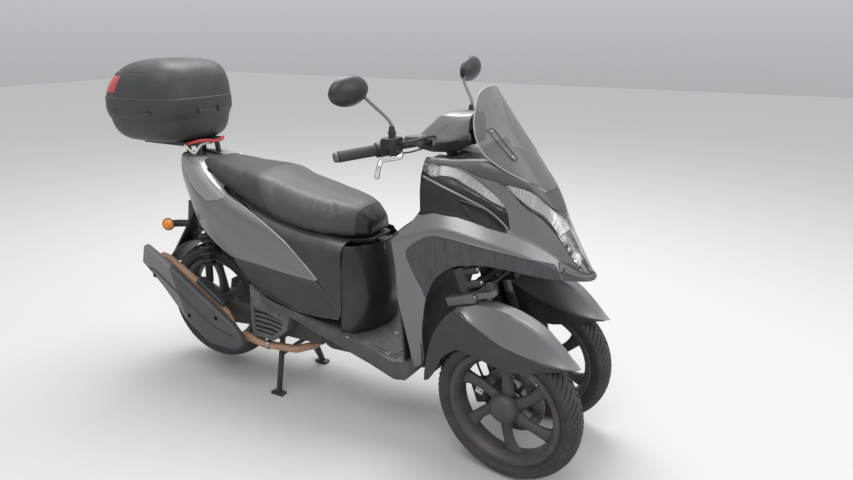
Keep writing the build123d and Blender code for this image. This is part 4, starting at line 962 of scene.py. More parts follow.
def rim(name, hub_half, outer_side):
    """A cast wheel: rim with rolled lips, six swept spokes and a domed hub."""
    pieces = [lathe("barrel", BARREL, 96, True)]
    for n in range(6):
        points = []
        for r, wide, deep in SPOKE:
            turn = radians(24 + 60 * n + 17 * (r / 166) ** 1.6)
            for k in range(12):
                a = 2 * pi * k / 12
                across = wide * (abs(cos(a)) ** 0.7) * (1 if cos(a) > 0 else -1)
                y = deep * (abs(sin(a)) ** 0.8) * (1 if sin(a) > 0 else -1)
                points.append((r * cos(turn) - across * sin(turn), y, r * sin(turn) + across * cos(turn)))
        ends = [tuple(range(12)), tuple(range(60, 72))]
        spoke = from_faces("spoke", points, [*grid_faces(len(SPOKE), 12, wrap_columns=True), *ends])
        tidy(spoke, flat=0)
        pieces.append(modify(spoke, "SUBSURF", levels=1, render_levels=1))
    right = ((10.2, -hub_half), (24, -hub_half), (28, 3 - hub_half), (38, -hub_half * 0.5))
    left = [(r, -y) for r, y in reversed(right)]
    pieces.append(lathe("hub", (*right, (40, 0), *left), 48, True))
    if outer_side:
        cap = lathe("cap", HUB_CAP, 48)
        pieces.append(cap if outer_side > 0 else turned(cap, Matrix.Rotation(pi, 4, "Z")))
    return join(name, pieces)


def wheels():
    """Tyres, rims and drilled brake discs."""
    for name, side in SIDES:
        y = side * FRONT_HUB[1]
        tread = tyre("front_tyre_%s_tread" % name, *FRONT_TYRE, FRONT_TREAD_PITCHES)
        cast = rim("front_rim_%s_cast" % name, FRONT_HUB_HALF, side)
        for piece, paint, node in ((tread, TYRE, "front_tyre_" + name), (cast, RIM, "front_rim_" + name)):
            shifted(piece, FRONT_HUB[0], y, FRONT_HUB[2])
            dress(steered(piece, y), paint, node, angle=34)
    rear = tyre("rear_tyre_tread", *REAR_TYRE, REAR_TREAD_PITCHES)
    dress(shifted(rear, *REAR_HUB), TYRE, "rear_tyre", angle=34)
    dress(shifted(rim("rear_rim_cast", REAR_HUB_HALF, 0), *REAR_HUB), RIM, "rear_rim", angle=34)
    for name, side in SIDES:
        y = side * FRONT_HUB[1]
        disc = tidy(copy_of(NODES["brake_disc_" + name], "brake_disc_drilled_" + name))
        drills = []
        for n in range(DISC_HOLES):
            turn = 2 * pi * n / DISC_HOLES
            radius = DISC_HOLE_RINGS[n % len(DISC_HOLE_RINGS)]
            drill = lathe("drill", [(0, -8), (DISC_HOLE_R, -8), (DISC_HOLE_R, 8), (0, 8)], 8)
            shifted(drill, radius * cos(turn), 0, radius * sin(turn))
            drills.append(shifted(drill, FRONT_HUB[0], side * DISC_Y, FRONT_HUB[2]))
        carve(disc, steered(join("drills", drills), y))
        dress(disc, DISC, "brake_disc_" + name)
        low, high = [corner / MM for corner in map(Vector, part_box("brake_caliper_" + name))]
        face = low.y if side < 0 else high.y
        middle = (low + high) / 2
        x, z = middle.x, middle.z + 8
        plate = beaded("caliper_plate_" + name, (26, 3, 26), (x, face + side * 0.5, z), 1, 1, (0, 20, 0))
        dress(plate, PLATE, "brake_caliper_" + name, hides=False)
        eyes = []
        for spot in ((x - 5, face + side * 1.6, z + 4), (x + 5, face + side * 1.6, z - 4)):
            eye = lathe("eye", [(0, 0), (3.2, 0), (3.2, 1.4), (0, 1.4)], 12)
            eyes.append(aimed(eye, spot, (0, side, 0)))
        dress(join("caliper_eyes_" + name, eyes), HIDDEN, "brake_caliper_" + name, hides=False)


# Seat

def drawn_in(n, count):
    """How far the first and the last of a row are drawn in, to leave room for the swelling."""
    if n == 0:
        return 3
    return -3 if n == count - 1 else 0


def seat():
    """The long stepped cushion, inflated under its cover, with seams sewn on afterwards."""
    table = []
    for n, (x, *rows) in enumerate(SEAT_FORM):
        x += drawn_in(n, len(SEAT_FORM))
        table.append((x, *[(z + drawn_in(k, len(rows)), half - 4) for k, (z, half) in enumerate(rows)]))
    cushion = closed_form("seat_cover", table, 4, 5, crown=4)
    modify(cushion, "REMESH", mode="VOXEL", voxel_size=0.007)
    modify(cushion, "SMOOTH", iterations=14, factor=0.6)
    start = [v.co.copy() for v in cushion.data.vertices]
    cloth = cushion.modifiers.new("cloth", "CLOTH")
    cloth.settings.use_pressure = True
    cloth.settings.uniform_pressure_force = 4
    cloth.settings.effector_weights.gravity = 0
    cloth.point_cache.frame_end = 20
    for step in range(1, 21):
        bpy.context.scene.frame_set(step)
    only(cushion)
    bpy.ops.object.modifier_apply(modifier=cloth.name)
    most = 7 * MM
    for v, home in zip(cushion.data.vertices, start):
        move = v.co - home
        if move.length > most:
            move = move.normalized() * most
        v.co = home + move
    bpy.context.scene.frame_set(1)
    modify(cushion, "SUBSURF", levels=1, render_levels=1)
    low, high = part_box("seat_cushion")
    for v in cushion.data.vertices:
        v.co = [min(max(c, a), b) for c, a, b in zip(v.co, low, high)]
    dress(cushion, SEAT_RIDER, "seat_cushion", angle=60)
    cushion.data.materials.append(SEAT_REAR)
    cushion.data.materials.append(GLOVE)
    for face in cushion.data.polygons:
        x, y, z = [c / MM for c in face.center]
        if x > nose_x(y, z):
            face.material_index = 2
        elif x < seam_x(y, z):
            face.material_index = 1
    return cushion


def seam_x(y, z):
    """Where the seam between the two parts of the seat crosses a place, as x."""
    return SEAT_SEAM_X + abs(y) * 0.05 + (860 - z) * 0.62


def nose_x(y, _z):
    """Where the seam of the nose insert crosses a place, as x."""
    return NOSE_SEAM_X - abs(y) * 0.1


def seat_seams(cushion):
    """Sewn seams over the seat and the raised line on each flank of its rear part."""
    tree = surface(cushion)
    seam, nose = [], []
    for n in range(33):
        angle = radians(-100 + 200 * n / 32)
        ray = (0, sin(angle), max(cos(angle), 0.02))
        for line, where in ((seam, seam_x), (nose, nose_x)):
            x = where(0, 800)
            for _ in range(3):
                hit = hit_on(tree, (x, 0, 740), ray)
                if hit:
                    x = where(hit[1], hit[2])
            hit = hit_on(tree, (x, 0, 740), ray)
            if hit and hit[2] > 715:
                line.append(hit)
    for name, line in (("seat_seam_middle", seam), ("seat_seam_nose", nose)):
        if len(line) > 3:
            dress(tube(name, line, 1.3, ring=6, steps=2), GLOVE, "seat_cushion", hides=False)
    for name, side in SIDES:
        line = hits_on(tree, [(x, side * 300, z) for x, z in SEAT_LOOP], (0, -side, 0))
        if len(line) > 3:
            loop = tube("seat_loop_" + name, line, 1.2, ring=6, steps=3)
            dress(loop, SEAT_RIDER, "seat_cushion", hides=False)


# Side panels and floor

def side_panels():
    """The upper, lower and seat side panels, cut from one smooth form."""
    shell = form_sheet("rear_shell", REAR_FORM, 5, 6, crown=0)
    modify(shell, "SOLIDIFY", thickness=SKIN * MM, offset=-1)
    carve(shell, prism(((-684, 600), (140, 300), (140, 1000), (-684, 1000)), -40, 40))
    upper = panel(shell, "side_panels_upper_skin", soft_outline(UPPER_PANEL_OUTLINE, 14))
    lower = panel(shell, "side_panels_lower_skin", soft_outline(LOWER_PANEL_OUTLINE, 14))
    seat_side = panel(shell, "seat_side_skins", SEAT_SIDE_OUTLINE)
    remove(shell)
    tail = panel(upper, "side_panel_tail_strip", TAIL_STRIP)
    # The tail strip is painted lighter grey: a painted highlight of the light band along the top edge
    for piece, paint, node in ((upper, GREY, "side_panels_upper"),
                               (tail, HIGHLIGHT_GREY, "side_panels_upper"),
                               (lower, CHARCOAL, "side_panels_lower"),
                               (seat_side, CHARCOAL, "seat_side_covers")):
        rounded(piece, 1.4, 3, 50)
        dress(piece, paint, node, angle=45)


def pedestal_skin():
    """The smooth front of the pedestal, from one side skin round to the other."""
    sections = []
    for z, front, half in PEDESTAL_STATIONS:
        right = [(118, -half - 8, z), (150, -half + 4, z), (front - 32, -half + 34, z), (front - 8, -88, z),
                 (front + 3, -42, z)]
        sections.append([*right, (front + 5, 0, z), *[(x, -y, z) for x, y, z in reversed(right)]])
    sheet = skin("pedestal_front_skin", sections, 5, 4)
    in_edit_mode(sheet, lambda: bpy.ops.mesh.normals_make_consistent(inside=False))
    face_away(sheet, PEDESTAL_MIDDLE)
    modify(sheet, "SOLIDIFY", thickness=2.4 * MM, offset=-1)
    dress(sheet, PEDESTAL, "pedestal", hides=False, angle=60)


def rear_half(x, z):
    """Half width of the rear form at a place on its side."""
    return half_width(REAR_FORM, (), x, z)


# Raised lines on the side panels: their run as (x, z), radius, finish and node; the upper edge line's lighter
# grey is a painted highlight along the top edge
PANEL_LINES = {
    # The upper edge line is painted lighter grey: a painted highlight along the top edge
    "upper_edge": (((-556, 886), (-480, 838), (-402, 794), (-300, 756), (-210, 719), (-140, 682), (-88, 650),
                    (-20, 590), (28, 540)), 4.2, HIGHLIGHT_GREY, "side_panels_upper"),
    "lower_edge": (((-360, 552), (-223, 546), (-61, 533), (28, 528)), 2.4, DARK_GREY, "side_panels_lower"),
    "lower_front_edge": (((26, 530), (60, 496), (94, 460), (118, 434)), 2.6, DARK_GREY, "side_panels_lower"),
    "lower_bottom_edge": (((-228, 436), (-150, 414), (-72, 400), (20, 399), (108, 402)), 2.6, DARK_GREY,
                          "side_panels_lower"),
    "upper_crease": (((-560, 730), (-480, 690), (-380, 640), (-250, 602), (-120, 575), (-20, 552)), 1.4, GREY,
                     "side_panels_upper"),
}


def panel_creases():
    """Raised lines along the side panels, where their edges catch the light; the upper edge line is painted a
    lighter grey as a painted highlight.
    """
    for part, (line, radius, paint, node) in PANEL_LINES.items():
        for name, side in SIDES:
            points = [(x, side * (rear_half(x, z) - radius * 0.5), z) for x, z in line]
            dress(tube("panel_%s_%s" % (part, name), points, radius, ring=8), paint, node, hides=False)


def floor_details():
    """Moulded lines and screws on the stepped floor."""
    piece = tidy(copy_of(NODES["floorboard"], "floorboard_moulded"))
    rounded(piece, 3.0, 3, 30)
    dress(piece, FLOOR, "floorboard")
    tree = surface(piece)

    def on_floor(spots, side):
        return hits_on(tree, [(x, side * y, 600) for x, y in spots], (0, 0, -1))
    for name, side in SIDES:
        for n, y in enumerate(FLOOR_RIBS_Y):
            line = on_floor([(x, y) for x in FLOOR_RIBS_X], side)
            if len(line) > 2:
                rib = tube("floor_rib_%s_%d" % (name, n), line, 1.6, ring=6)
                dress(rib, FLOOR, "floorboard", hides=False)
        for part, inward in (("outer", 0), ("inner", 13)):
            border = [(-150, 188 - inward), (-40, 189 - inward), (60, 188 - inward), (130, 184 - inward),
                      (230, 182 - inward), (310 - inward, 176 - inward), (334 - inward, 150),
                      (338 - inward, 60)]
            line = on_floor(border, side)
            if len(line) > 3:
                edge = tube("floor_border_%s_%s" % (part, name), line, 2.8, ring=8)
                dress(edge, FLOOR, "floorboard", hides=False)
        for n, spot in enumerate(on_floor(FLOOR_SCREWS, side)):
            head = screw_head("floor_screw_%s_%d" % (name, n), spot, (0.15, 0, 1), 10)
            dress(head, STEEL, "floorboard", hides=False)


# Top case

def case_ring(z, rear, front, half, count=72, power=3.2):
    """One plan ring of the case, a rounded rectangle."""
    middle, long = (rear + front) / 2, (front - rear) / 2
    ring = []
    for n in range(count):
        a = 2 * pi * n / count
        c, s = cos(a), sin(a)
        ring.append((middle + long * abs(c) ** (2 / power) * (1 if c > 0 else -1),
                     half * abs(s) ** (2 / power) * (1 if s > 0 else -1), z))
    return ring


def case_shell(name, rows, close_bottom, close_top, steps=4):
    """A closed half of the case from its rings, hollow inside."""
    count = 72
    rings = [case_ring(*row) for row in through_rows(rows, steps)]
    points = [p for ring in rings for p in ring]
    faces = grid_faces(len(rings), count, wrap_columns=True)
    if close_bottom:
        faces.append(tuple(range(count)))
    if close_top:
        faces.append(tuple(range((len(rings) - 1) * count, len(rings) * count)))
    piece = from_faces(name, points, faces)
    face_away(tidy(piece, flat=0))
    return modify(piece, "SOLIDIFY", thickness=3.2 * MM, offset=-1)


def through_rows(rows, steps):
    """Rows of four numbers, smoothed as a line is."""
    first = through([row[:3] for row in rows], steps)
    second = through([(row[3], 0, 0) for row in rows], steps)
    return [(*a, b[0]) for a, b in zip(first, second)]


def top_case():
    """Base and lid with the band between them, tabs, latch and reflector."""
    base = case_shell("top_case_base_shell", CASE_BASE, True, False)
    hinge = [beaded("lug", (12, 9, 26), (-588, y, 1078), 2) for y in (-52, 52)]
    dress(join("top_case_base_shell", [base, *hinge]), CASE, "top_case_base", angle=32)
    lid = case_shell("top_case_lid_shell", CASE_LID, False, True)
    dress(lid, CASE, "top_case_lid", angle=40)
    for name, rows, node in (("case_band_upper", CASE_RIM[2:], "top_case_lid"),
                             ("case_band_lower", CASE_RIM[:2], "top_case_base")):
        low, high = rows[0][0], rows[1][0]
        wide = [(low - 5, *inset(rows[0], 2)), (low, *rows[0][1:]), (high - 1, *rows[1][1:]),
                (high + 3, *inset(rows[1], 4))]
        rings = [case_ring(*row) for row in wide]
        points = [p for ring in rings for p in ring]
        band = from_faces(name, points, grid_faces(len(rings), 72, wrap_columns=True))
        face_away(band)
        modify(band, "SOLIDIFY", thickness=3.5 * MM, offset=-1)
        dress(band, CASE, node, hides=False, angle=32)
    for name, x in CASE_TABS:
        for side in (-1, 1):
            tab = beaded("case_tab_%s_%d" % (name, side > 0), (42, 5, 12), (x, side * 209, 1072), 2)
            dress(tab, CASE, "top_case_base", hides=False)
    latch = beaded("case_latch", (6, 44, 34), (-990, 0, 1062), 3)
    dress(latch, CASE, "top_case_base", hides=False)
    slot = beaded("case_latch_slot", (5, 12, 24), (-991, -18, 1058), 2)
    dress(slot, HIDDEN, "top_case_base", hides=False)
    dress(ball("case_lock_dot", (-992, -18, 1050), (3, 4, 4), 8), RED, "top_case_base", hides=False)
    dress(case_reflector(), RED, "top_case_lid", hides=False)
    line = hits_on(surface(lid), [(x, -250, z + 40) for x, z in CASE_LID_LINE], (0, 0.85, -0.53))
    if len(line) > 3:
        dress(tube("case_lid_line", line, 1.4, ring=6), CASE, "top_case_lid", hides=False)


def inset(row, by):
    """A case ring's rear, front and half width, drawn in."""
    return row[1] + by, row[2] - by, row[3] - by


def case_reflector():
    """The red reflector that wraps the back of the lid."""
    rows = through_rows(CASE_LID, 4)
    band = [row for row in rows if REFLECTOR_HEIGHTS[0] <= row[0] <= REFLECTOR_HEIGHTS[1]]
    points, count = [], 33
    for z, rear, front, half in band:
        ring = case_ring(z, rear - 1.2, front, half + 1.2)
        points += ring[36 - count // 2:36 + count // 2 + 1]
    piece = from_faces("case_reflector", points, grid_faces(len(band), count))
    if sum(f.normal.x for f in piece.data.polygons) > 0:
        piece.data.flip_normals()
    return modify(piece, "SOLIDIFY", thickness=2 * MM, offset=-1)


# Handlebar

def bar_point(side, inward):
    """A point along the straight outer run of the bar, at a distance from its end, straight ahead."""
    centre = on_axis(BAR_HEIGHT)
    inner, outer = [Vector((centre.x + x, side * y, centre.z + z)) for x, y, z in BAR_RUN[-2:]]
    return outer + (inner - outer).normalized() * inward


def handlebar():
    """Grips, levers, pods, mirrors and the cover over the middle."""
    for name, side in SIDES:
        along = (bar_point(side, 10) - bar_point(side, 0)).normalized()
        ribs = [(11.2, 0)]
        for n in range(GRIP_RIBS):
            start = n * GRIP_RIB_PITCH
            ribs += [(17.0, 2 + start), (17.0, 5 + start), (16.0, 6 + start), (16.0, 7.2 + start)]
        ribs += [(19, 119), (19, 121.5), (11.2, 121.5)]
        grip = aimed(lathe("grip_ribbed_" + name, ribs, 32, True), bar_point(side, 0), along)
        dress(steered(grip), GRIP, "grips")
        end = lathe("bar_end_" + name, BAR_END, 32, True)
        dress(steered(aimed(end, bar_point(side, 0), along)), GRIP_END, "grips", hides=False)
        spot = bar_point(side, POD_INWARD)
        pivot = Vector((spot.x + 66, spot.y, spot.z - 6))
        far = bar_point(side, LEVER_TIP_INWARD)
        line = [pivot - Vector((9, 0, 0)), (pivot.x + 8, spot.y + side * 16, spot.z - 8),
                (pivot.x + 10, spot.y + side * 34, spot.z - 12), (far.x + 58, far.y - side * 14, far.z - 20),
                (far.x + 54, far.y, far.z - 38), (far.x + 46, far.y + side * 2, far.z - 68)]
        lever = tube("brake_lever_chrome_" + name, line, LEVER_R, ring=16)
        tip = ball("tip", (far.x + 46, far.y + side * 2, far.z - 68), (9, 9, 9), 10)
        dress(steered(join("brake_lever_chrome_" + name, [lever, tip])), CHROME, "brake_levers")
        mirror(name, side, spot)
    moulded("switch_pods", BLACK_METAL, 3, 3)
    for name, side in SIDES:
        spot = bar_point(side, POD_INWARD)
        for n, offset in enumerate(on_side(SWITCHES, side)):
            button = beaded("switch_%s_%d" % (name, n), (9, 11, 8), spot + Vector(offset), 2)
            dress(steered(button), (GREY, RED, DARK_GREY)[n], "switch_pods", hides=False)
        lid = beaded("reservoir_lid_" + name, (42, 54, 5), (spot.x + 28, spot.y, spot.z + 35), 2)
        dress(steered(lid), BLACK_METAL, "switch_pods", hides=False)
    cover = rounded(closed_form("handlebar_hood", COVER_FORM, 5, 6, crown=4, corners=(1,)), 3, 3, 40)
    lower = [face.index for face in cover.data.polygons
             if face.center.z < (1042 + abs(face.center.x / MM - 440) * 0.12) * MM]
    dress(steered(cover), GREY, "handlebar_cover", angle=45)
    cover.data.materials.append(CHARCOAL)
    for index in lower:
        cover.data.polygons[index].material_index = 1
    for name, side in SIDES:
        x, y, z = COVER_WING
        wing = beaded("cover_wing_" + name, (68, 72, 34), (x, side * y, z), 11, 4, (side * 8, -4, side * -12))
        dress(steered(wing), DARK_GREY, "handlebar_cover", hides=False)
        facet = tube("cover_crease_" + name, on_side(COVER_CREASE, side), 1.6, ring=6)
        dress(steered(facet), GREY, "handlebar_cover", hides=False)
        head = screw_head("cover_screw_" + name, (448, side * 96, 1040), (0, side, 0.2), 6)
        dress(steered(head), STEEL, "handlebar_cover", hides=False)
    NODES["handlebar"].data.materials.clear()
    NODES["handlebar"].data.materials.append(BLACK_METAL)


def mirror(name, side, spot):
    """A mirror: rounded shell, its glass behind and a thin bent stem."""
    foot = (spot.x + 30, spot.y, spot.z + 46)
    top = on_axis(MIRROR_HEIGHT, side * MIRROR_Y) + Vector((-54, 0, 0))
    turn = Matrix.Rotation(radians(side * 6), 4, "Z") @ Matrix.Rotation(radians(8), 4, "Y")
    place = Matrix.Translation(top * MM) @ turn
    shell = ball("mirror_shell_" + name, (0, 0, 0), (30, 74, 45), 24)
    cutter = beaded("cut", (60, 200, 200), (-34, 0, 0), 1, 1)
    carve(shell, cutter)
    rounded(shell, 2, 2, 50)
    dress(steered(turned(shell, place)), MIRROR_SHELL, "mirrors", angle=45)
    glass = ball("mirror_glass_" + name, (-4, 0, 0), (2, 69, 41), 20)
    dress(steered(turned(glass, place)), MIRROR_GLASS, "mirrors", hides=False)
    line = [foot, (foot[0] - 2, foot[1] + side * 6, foot[2] + 40),
            (top.x + 20, top.y - side * 70, top.z - 40), (top.x + 12, top.y - side * 44, top.z - 16),
            (top.x + 8, top.y - side * 10, top.z)]
    dress(steered(tube("mirror_stem_" + name, line, 5, ring=12)), STEM, "mirrors", hides=False)
    boot = aimed(lathe("mirror_boot_" + name, MIRROR_BOOT, 20), foot, (0, 0, 1))
    dress(steered(boot), HOSE, "mirrors", hides=False)


def cables():
    """Hoses and cables that loop from the bar's ends into the cover and the head of the frame."""
    for name, side in SIDES:
        x, y, z = bar_point(side, POD_INWARD)
        hose = [(x + 50, y - side * 4, z + 20), (x + 74, y - side * 4, z + 26), (x + 96, y - side * 20, z + 30),
                (x + 104, side * 160, z + 31), (x + 94, side * 110, z + 26), (448, side * 84, 1062)]
        dress(steered(tube("brake_hose_" + name, hose, 4, ring=10)), HOSE, "bar_hoses")
        cable = [(x + 20, y - side * 20, z - 10), (x + 50, y - side * 50, z - 16), (440, side * 96, 1034)]
        dress(steered(tube("throttle_cable_" + name, cable, 2.6, ring=8)), HOSE, "bar_hoses", hides=False)


# Rear

def spring(name, low, high, radius, wire, turns):
    """A coil of wire round the line from low to high, in millimetres."""
    low, high = Vector(low), Vector(high)
    along = (high - low).normalized()
    across = along.cross(Vector((0, 1, 0))).normalized()
    third = along.cross(across)
    count = turns * 20
    points = []
    for n in range(count + 1):
        t = n / count
        share = t + 0.5 * (0.12 * sin(2 * pi * t)) / pi
        turn = 2 * pi * turns * t
        points.append(low.lerp(high, share) + (across * cos(turn) + third * sin(turn)) * radius)
    return tube(name, points, wire, smooth=False, ring=10)


def rear_shocks():
    """Coil-over dampers with one real coil each."""
    for name, side in SIDES:
        low, high = [Vector(point) for point in on_side((SHOCK_FOOT, SHOCK_HEAD), side)]
        along = (high - low).normalized()
        body = aimed(lathe("shock_body_" + name, SHOCK_PROFILE, 32), low, along)
        dress(body, SHOCK, "rear_shocks")
        first, last = [low + along * end for end in COIL_ENDS]
        coil = spring("shock_coil_" + name, first, last, COIL_R, COIL_WIRE, COIL_TURNS)
        dress(coil, SHOCK, "rear_shocks", hides=False)


def silencer():
    """The tan can and the dark guard plate over it."""
    can = moulded("muffler", EXHAUST, 16, 4, 40)
    start, along, wall = Vector(CAN_FRONT) * MM, Vector(CAN_ALONG).normalized(), CAN_Y * MM
    for v in can.data.vertices:
        v.co.y = wall + (v.co.y - wall) * CAN_THICKNESS_SHARE
        on_line = start + along * (v.co - start).dot(along)
        share = min(max((on_line - start).length / (CAN_TAPER * MM), 0), 1)
        v.co = on_line + (v.co - on_line) * (0.25 + 0.67 * share) - Vector((0, 0, 8 * MM))
    bracket = beaded("can_bracket", (150, 44, 20), (-470, -188, 402), 5, 3, (0, 32, 0))
    dress(bracket, CHARCOAL, "muffler", hides=False)
    outline = soft_outline(GUARD_OUTLINE, 34, 6, keep=(0, 1))
    guard = prism(outline, *GUARD_FACES_Y)
    only(guard)
    guard.name = "muffler_guard_plate"
    modify(guard, "BEVEL", width=9 * MM, segments=4, limit_method="ANGLE", angle_limit=radians(60))
    dress(guard, guard_finish(), "muffler_guard", angle=40)
    outer = GUARD_FACES_Y[0]
    line = [(x, outer - 0.5, z) for x, z in GUARD_CREASE]
    dress(tube("guard_crease", line, 3.4, ring=10), CHARCOAL, "muffler_guard", hides=False)
    for n, (x, z) in enumerate(GUARD_WASHERS):
        washer = aimed(lathe("guard_washer_%d" % n, WASHER, 20), (x, outer, z), (0, -1, 0))
        dress(washer, HIDDEN, "muffler_guard", hides=False)
    moulded("exhaust_pipe", EXHAUST, 0.5, 1)
    band = lathe("can_clamp", [(17, -7), (18.5, -7), (18.5, 7), (17, 7)], 32, True)
    dress(aimed(band, (-240, -154, 212), (-0.9, -0.2, 0.1)), STEEL, "exhaust_pipe", hides=False)


def guard_finish():
    """Dusty dark plate whose rear part is lighter, across a slanted joint."""
    paint = finish("guard_plastic", (0.052, 0.054, 0.062), 0.46, dust=0.14, grain=0.3)
    tree = paint.node_tree
    shader = tree.nodes["Principled BSDF"]
    old = shader.inputs["Base Color"].links[0].from_socket
    place = add_node(tree, "TexCoord")
    split = add_node(tree, "SeparateXYZ", {0: place["Object"]})
    lean = add_node(tree, "Math", {0: split["Z"], 1: 0.35, 2: split["X"]}, operation="MULTIPLY_ADD")
    edge = add_node(tree, "MapRange", {"From Min": -0.474, "From Max": -0.470, "To Min": 1, "To Max": 0,
                                       "Value": lean[0]})
    blend = add_node(tree, "Mix", {0: edge[0], 6: old, 7: (0.15, 0.152, 0.16, 1)}, data_type="RGBA")
    feed(tree, shader, {"Base Color": blend[2]})
    return paint


def rear_details():
    """Radiator cover, fender, indicators, tail light, carrier and strap."""
    cover = moulded("radiator_cover", LOUVRE, 1.6, 2)
    tree = surface(cover)
    for n, (x, bow) in enumerate(SLATS):
        starts = [(x + bow * sin(pi * k / 8), -REACH, 256 + 14 * k) for k in range(9)]
        line = hits_on(tree, starts, (0, 1, 0))
        if len(line) > 2:
            slat = tube("radiator_slat_%d" % n, line, 4.2, ring=10, steps=3)
            dress(slat, LOUVRE, "radiator_cover", hides=False)
    moulded("rear_fender", CHARCOAL, 2, 2)
    moulded("rear_carrier", FRAME_STEEL, 3, 3)
    moulded("tail_cover", GREY, 2, 2)
    tail = moulded("tail_light", RED, 4, 3)
    tail.name = "tail_light_lens"
    for name, side in SIDES:
        lens = lathe("indicator_lens_" + name, INDICATOR_LENS, 36)
        along = (0.35, side * 0.93, 0.1)
        spot = on_side((INDICATOR_SPOT,), side)[0]
        dress(aimed(lens, spot, along), AMBER, "rear_indicators", hides=False)
        cup = lathe("indicator_cup_" + name, INDICATOR_CUP, 36)
        dress(aimed(cup, spot, along), HIDDEN, "rear_indicators")
        arm = tube("indicator_arm_" + name, on_side(INDICATOR_ARM, side), 15)
        dress(arm, HIDDEN, "rear_indicators", hides=False)
    dress(tube("luggage_strap_cord", STRAP_ROUTE, 5.5, ring=10), STRAP, "luggage_strap")
    dress(tube("luggage_strap_tail", STRAP_TAIL, 4.6, ring=10), STRAP_WHITE, "luggage_strap", hides=False)


# Mechanism and small parts

def mechanism():
    """Linkage, knuckles, forks and their bolts and rubber boots."""
    moulded("lean_linkage", LINK, 2, 2)
    moulded("tie_rod", LINK, 1, 1)
    for name, side in SIDES:
        moulded("fork_" + name, CAST, 2, 2)
        moulded("brake_caliper_" + name, BLACK_METAL, 4, 3)
        y = side * FRONT_HUB[1]
        heads = [screw_head("head", on_axis(626, y + side * across, 41), AXIS_FRONT, 8, 4)
                 for across in (-60, -20, 18)]
        dress(steered(join("knuckle_bolts_" + name, heads), y), STEEL, "fork_" + name, hides=False)
        caps = [screw_head("head", on_axis(up, y, 61), AXIS_FRONT, 9, 5) for up in (662, 706)]
        caps += [screw_head("head", on_axis(up, 0, 61), AXIS_FRONT, 9, 5) for up in (662, 706)]
        dress(join("linkage_bolts_" + name, caps), STEEL, "lean_linkage", hides=False)
        boots = []
        for ahead in (-44, 10):
            start = on_axis(424, side * 115, ahead)
            rings = [(16.2, 0)]
            for n in range(9):
                rings += [(21, 4 + n * 12), (17.5, 10 + n * 12)]
            rings += [(16.2, 114)]
            boots.append(aimed(lathe("boot", rings, 24, True), start, AXIS_UP))
        dress(steered(join("fork_boots_" + name, boots), y), HOSE, "fork_" + name, hides=False)
        hose = [on_axis(300, side * 140, -72), on_axis(380, side * 150, -76), on_axis(480, side * 140, -70),
                on_axis(570, side * 120, -66), on_axis(620, side * 112, -58)]
        dress(steered(tube("fork_hose_" + name, hose, 4, ring=8), y), HOSE, "fork_" + name, hides=False)


def leg_shield():
    """The inner face of the front body, whose upper part stands further forward behind the lamps."""
    def cut_across():
        for height in SHIELD_CUTS:
            bpy.ops.mesh.select_all(action="SELECT")
            bpy.ops.mesh.bisect(plane_co=(0, 0, height * MM), plane_no=(0, 0, 1))
    shield = in_edit_mode(tidy(copy_of(NODES["leg_shield"], "leg_shield_moulded")), cut_across)
    for v in shield.data.vertices:
        share = min(max((v.co.z / MM - SHIELD_TURN) / SHIELD_RISE, 0), 1)
        v.co.x += SHIELD_AHEAD * MM * share * share * (3 - 2 * share)
    dress(rounded(shield, 2), CHARCOAL, "leg_shield")


def plain_nodes():
    """Nodes that keep their own shape and get their finish, with small rounded edges where they show."""
    for node, paint, width in (("pedestal", PEDESTAL, 3), ("drive_case", ENGINE, 3),
                               ("engine_block", ENGINE, 4), ("swingarm", ENGINE, 3),
                               ("centre_stand", FRAME_STEEL, 1.5),
                               ("side_stand", FRAME_STEEL, 1.5), ("seat_pan", CHARCOAL, 2),
                               ("instrument_panel", BLACK, 5)):
        moulded(node, paint, width)
    for node, paint in (("frame", FRAME_STEEL), ("under_seat_tub", HIDDEN), ("arch_lining", HIDDEN)):
        NODES[node].data.materials.clear()
        NODES[node].data.materials.append(paint)
        only(NODES[node])
        bpy.ops.object.shade_smooth_by_angle(angle=radians(30))


# Stage

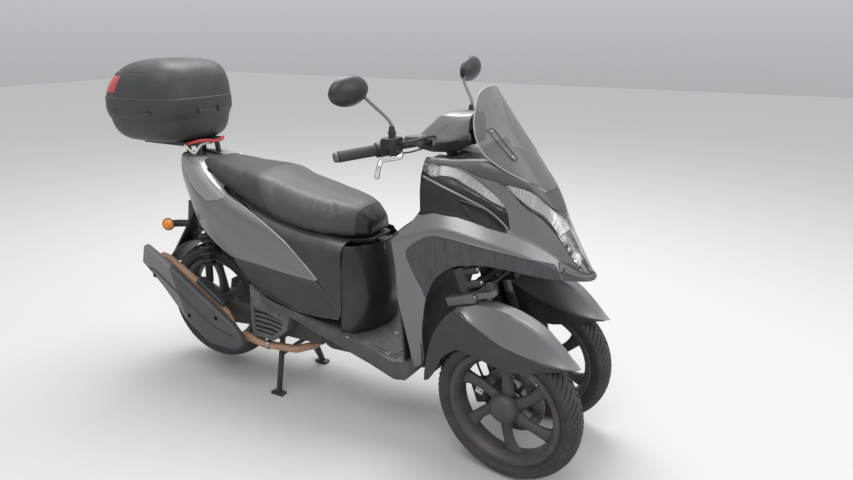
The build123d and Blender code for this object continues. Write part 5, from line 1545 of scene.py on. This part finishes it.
def stage():
    """Plain pale floor, soft light and the photograph's camera."""
    bpy.ops.mesh.primitive_plane_add(size=30, location=(0, 0, -0.0006))
    floor = bpy.context.active_object
    floor.name = "floor"
    paint = bpy.data.materials.new("pale_floor")
    paint.use_nodes = True
    feed(paint.node_tree, paint.node_tree.nodes["Principled BSDF"],
         {"Base Color": (0.50, 0.49, 0.47, 1), "Roughness": 0.9})
    floor.data.materials.append(paint)
    world = bpy.data.worlds.new("soft_sky")
    world.use_nodes = True
    sky = world.node_tree
    place = add_node(sky, "TexCoord")
    height = add_node(sky, "SeparateXYZ", {0: place["Generated"]})
    level = add_node(sky, "MapRange", {"From Min": -0.1, "From Max": 0.8, "To Min": 0.45, "To Max": 1.2,
                                       "Value": height["Z"]})
    feed(sky, sky.nodes["Background"], {"Color": (0.90, 0.93, 0.97, 1), "Strength": level[0]})
    bpy.context.scene.world = world
    for name, spot, size, power in (("key", (1.0, -2.6, 4.4), 2.4, 70), ("top", (-0.6, 1.4, 4.4), 2.6, 170),
                                    ("front", (4.0, 0.6, 2.2), 2.5, 40)):
        light = bpy.data.lights.new(name, "AREA")
        light.size = size
        light.energy = power
        lamp = bpy.data.objects.new(name, light)
        lamp.location = spot
        lamp.rotation_euler = (Vector((0, 0, 0.5)) - Vector(spot)).to_track_quat("-Z", "Y").to_euler()
        bpy.context.scene.collection.objects.link(lamp)
    forward = Vector((cos(radians(CAMERA_PITCH)) * cos(radians(CAMERA_YAW)),
                      cos(radians(CAMERA_PITCH)) * sin(radians(CAMERA_YAW)), sin(radians(CAMERA_PITCH))))
    right = forward.cross(Vector((0, 0, 1))).normalized()
    up = right.cross(forward)
    roll = Quaternion(forward, radians(CAMERA_ROLL))
    right, up = roll @ right, roll @ up
    camera = bpy.data.objects.new("camera", bpy.data.cameras.new("camera"))
    camera.data.lens = CAMERA_LENS
    camera.data.sensor_width = 36
    camera.data.sensor_fit = "HORIZONTAL"
    turn = Matrix((right, up, -forward)).transposed().to_4x4()
    camera.matrix_world = Matrix.Translation(CAMERA_SPOT) @ turn
    bpy.context.scene.collection.objects.link(camera)
    bpy.context.scene.camera = camera
    bpy.context.scene.view_settings.view_transform = "Standard"


stage()
front_body()
lamp_bowls()
vents()
windscreen()
fenders()
wheels()
seat_seams(seat())
side_panels()
pedestal_skin()
panel_creases()
floor_details()
top_case()
handlebar()
cables()
rear_shocks()
silencer()
rear_details()
mechanism()
leg_shield()
plain_nodes()
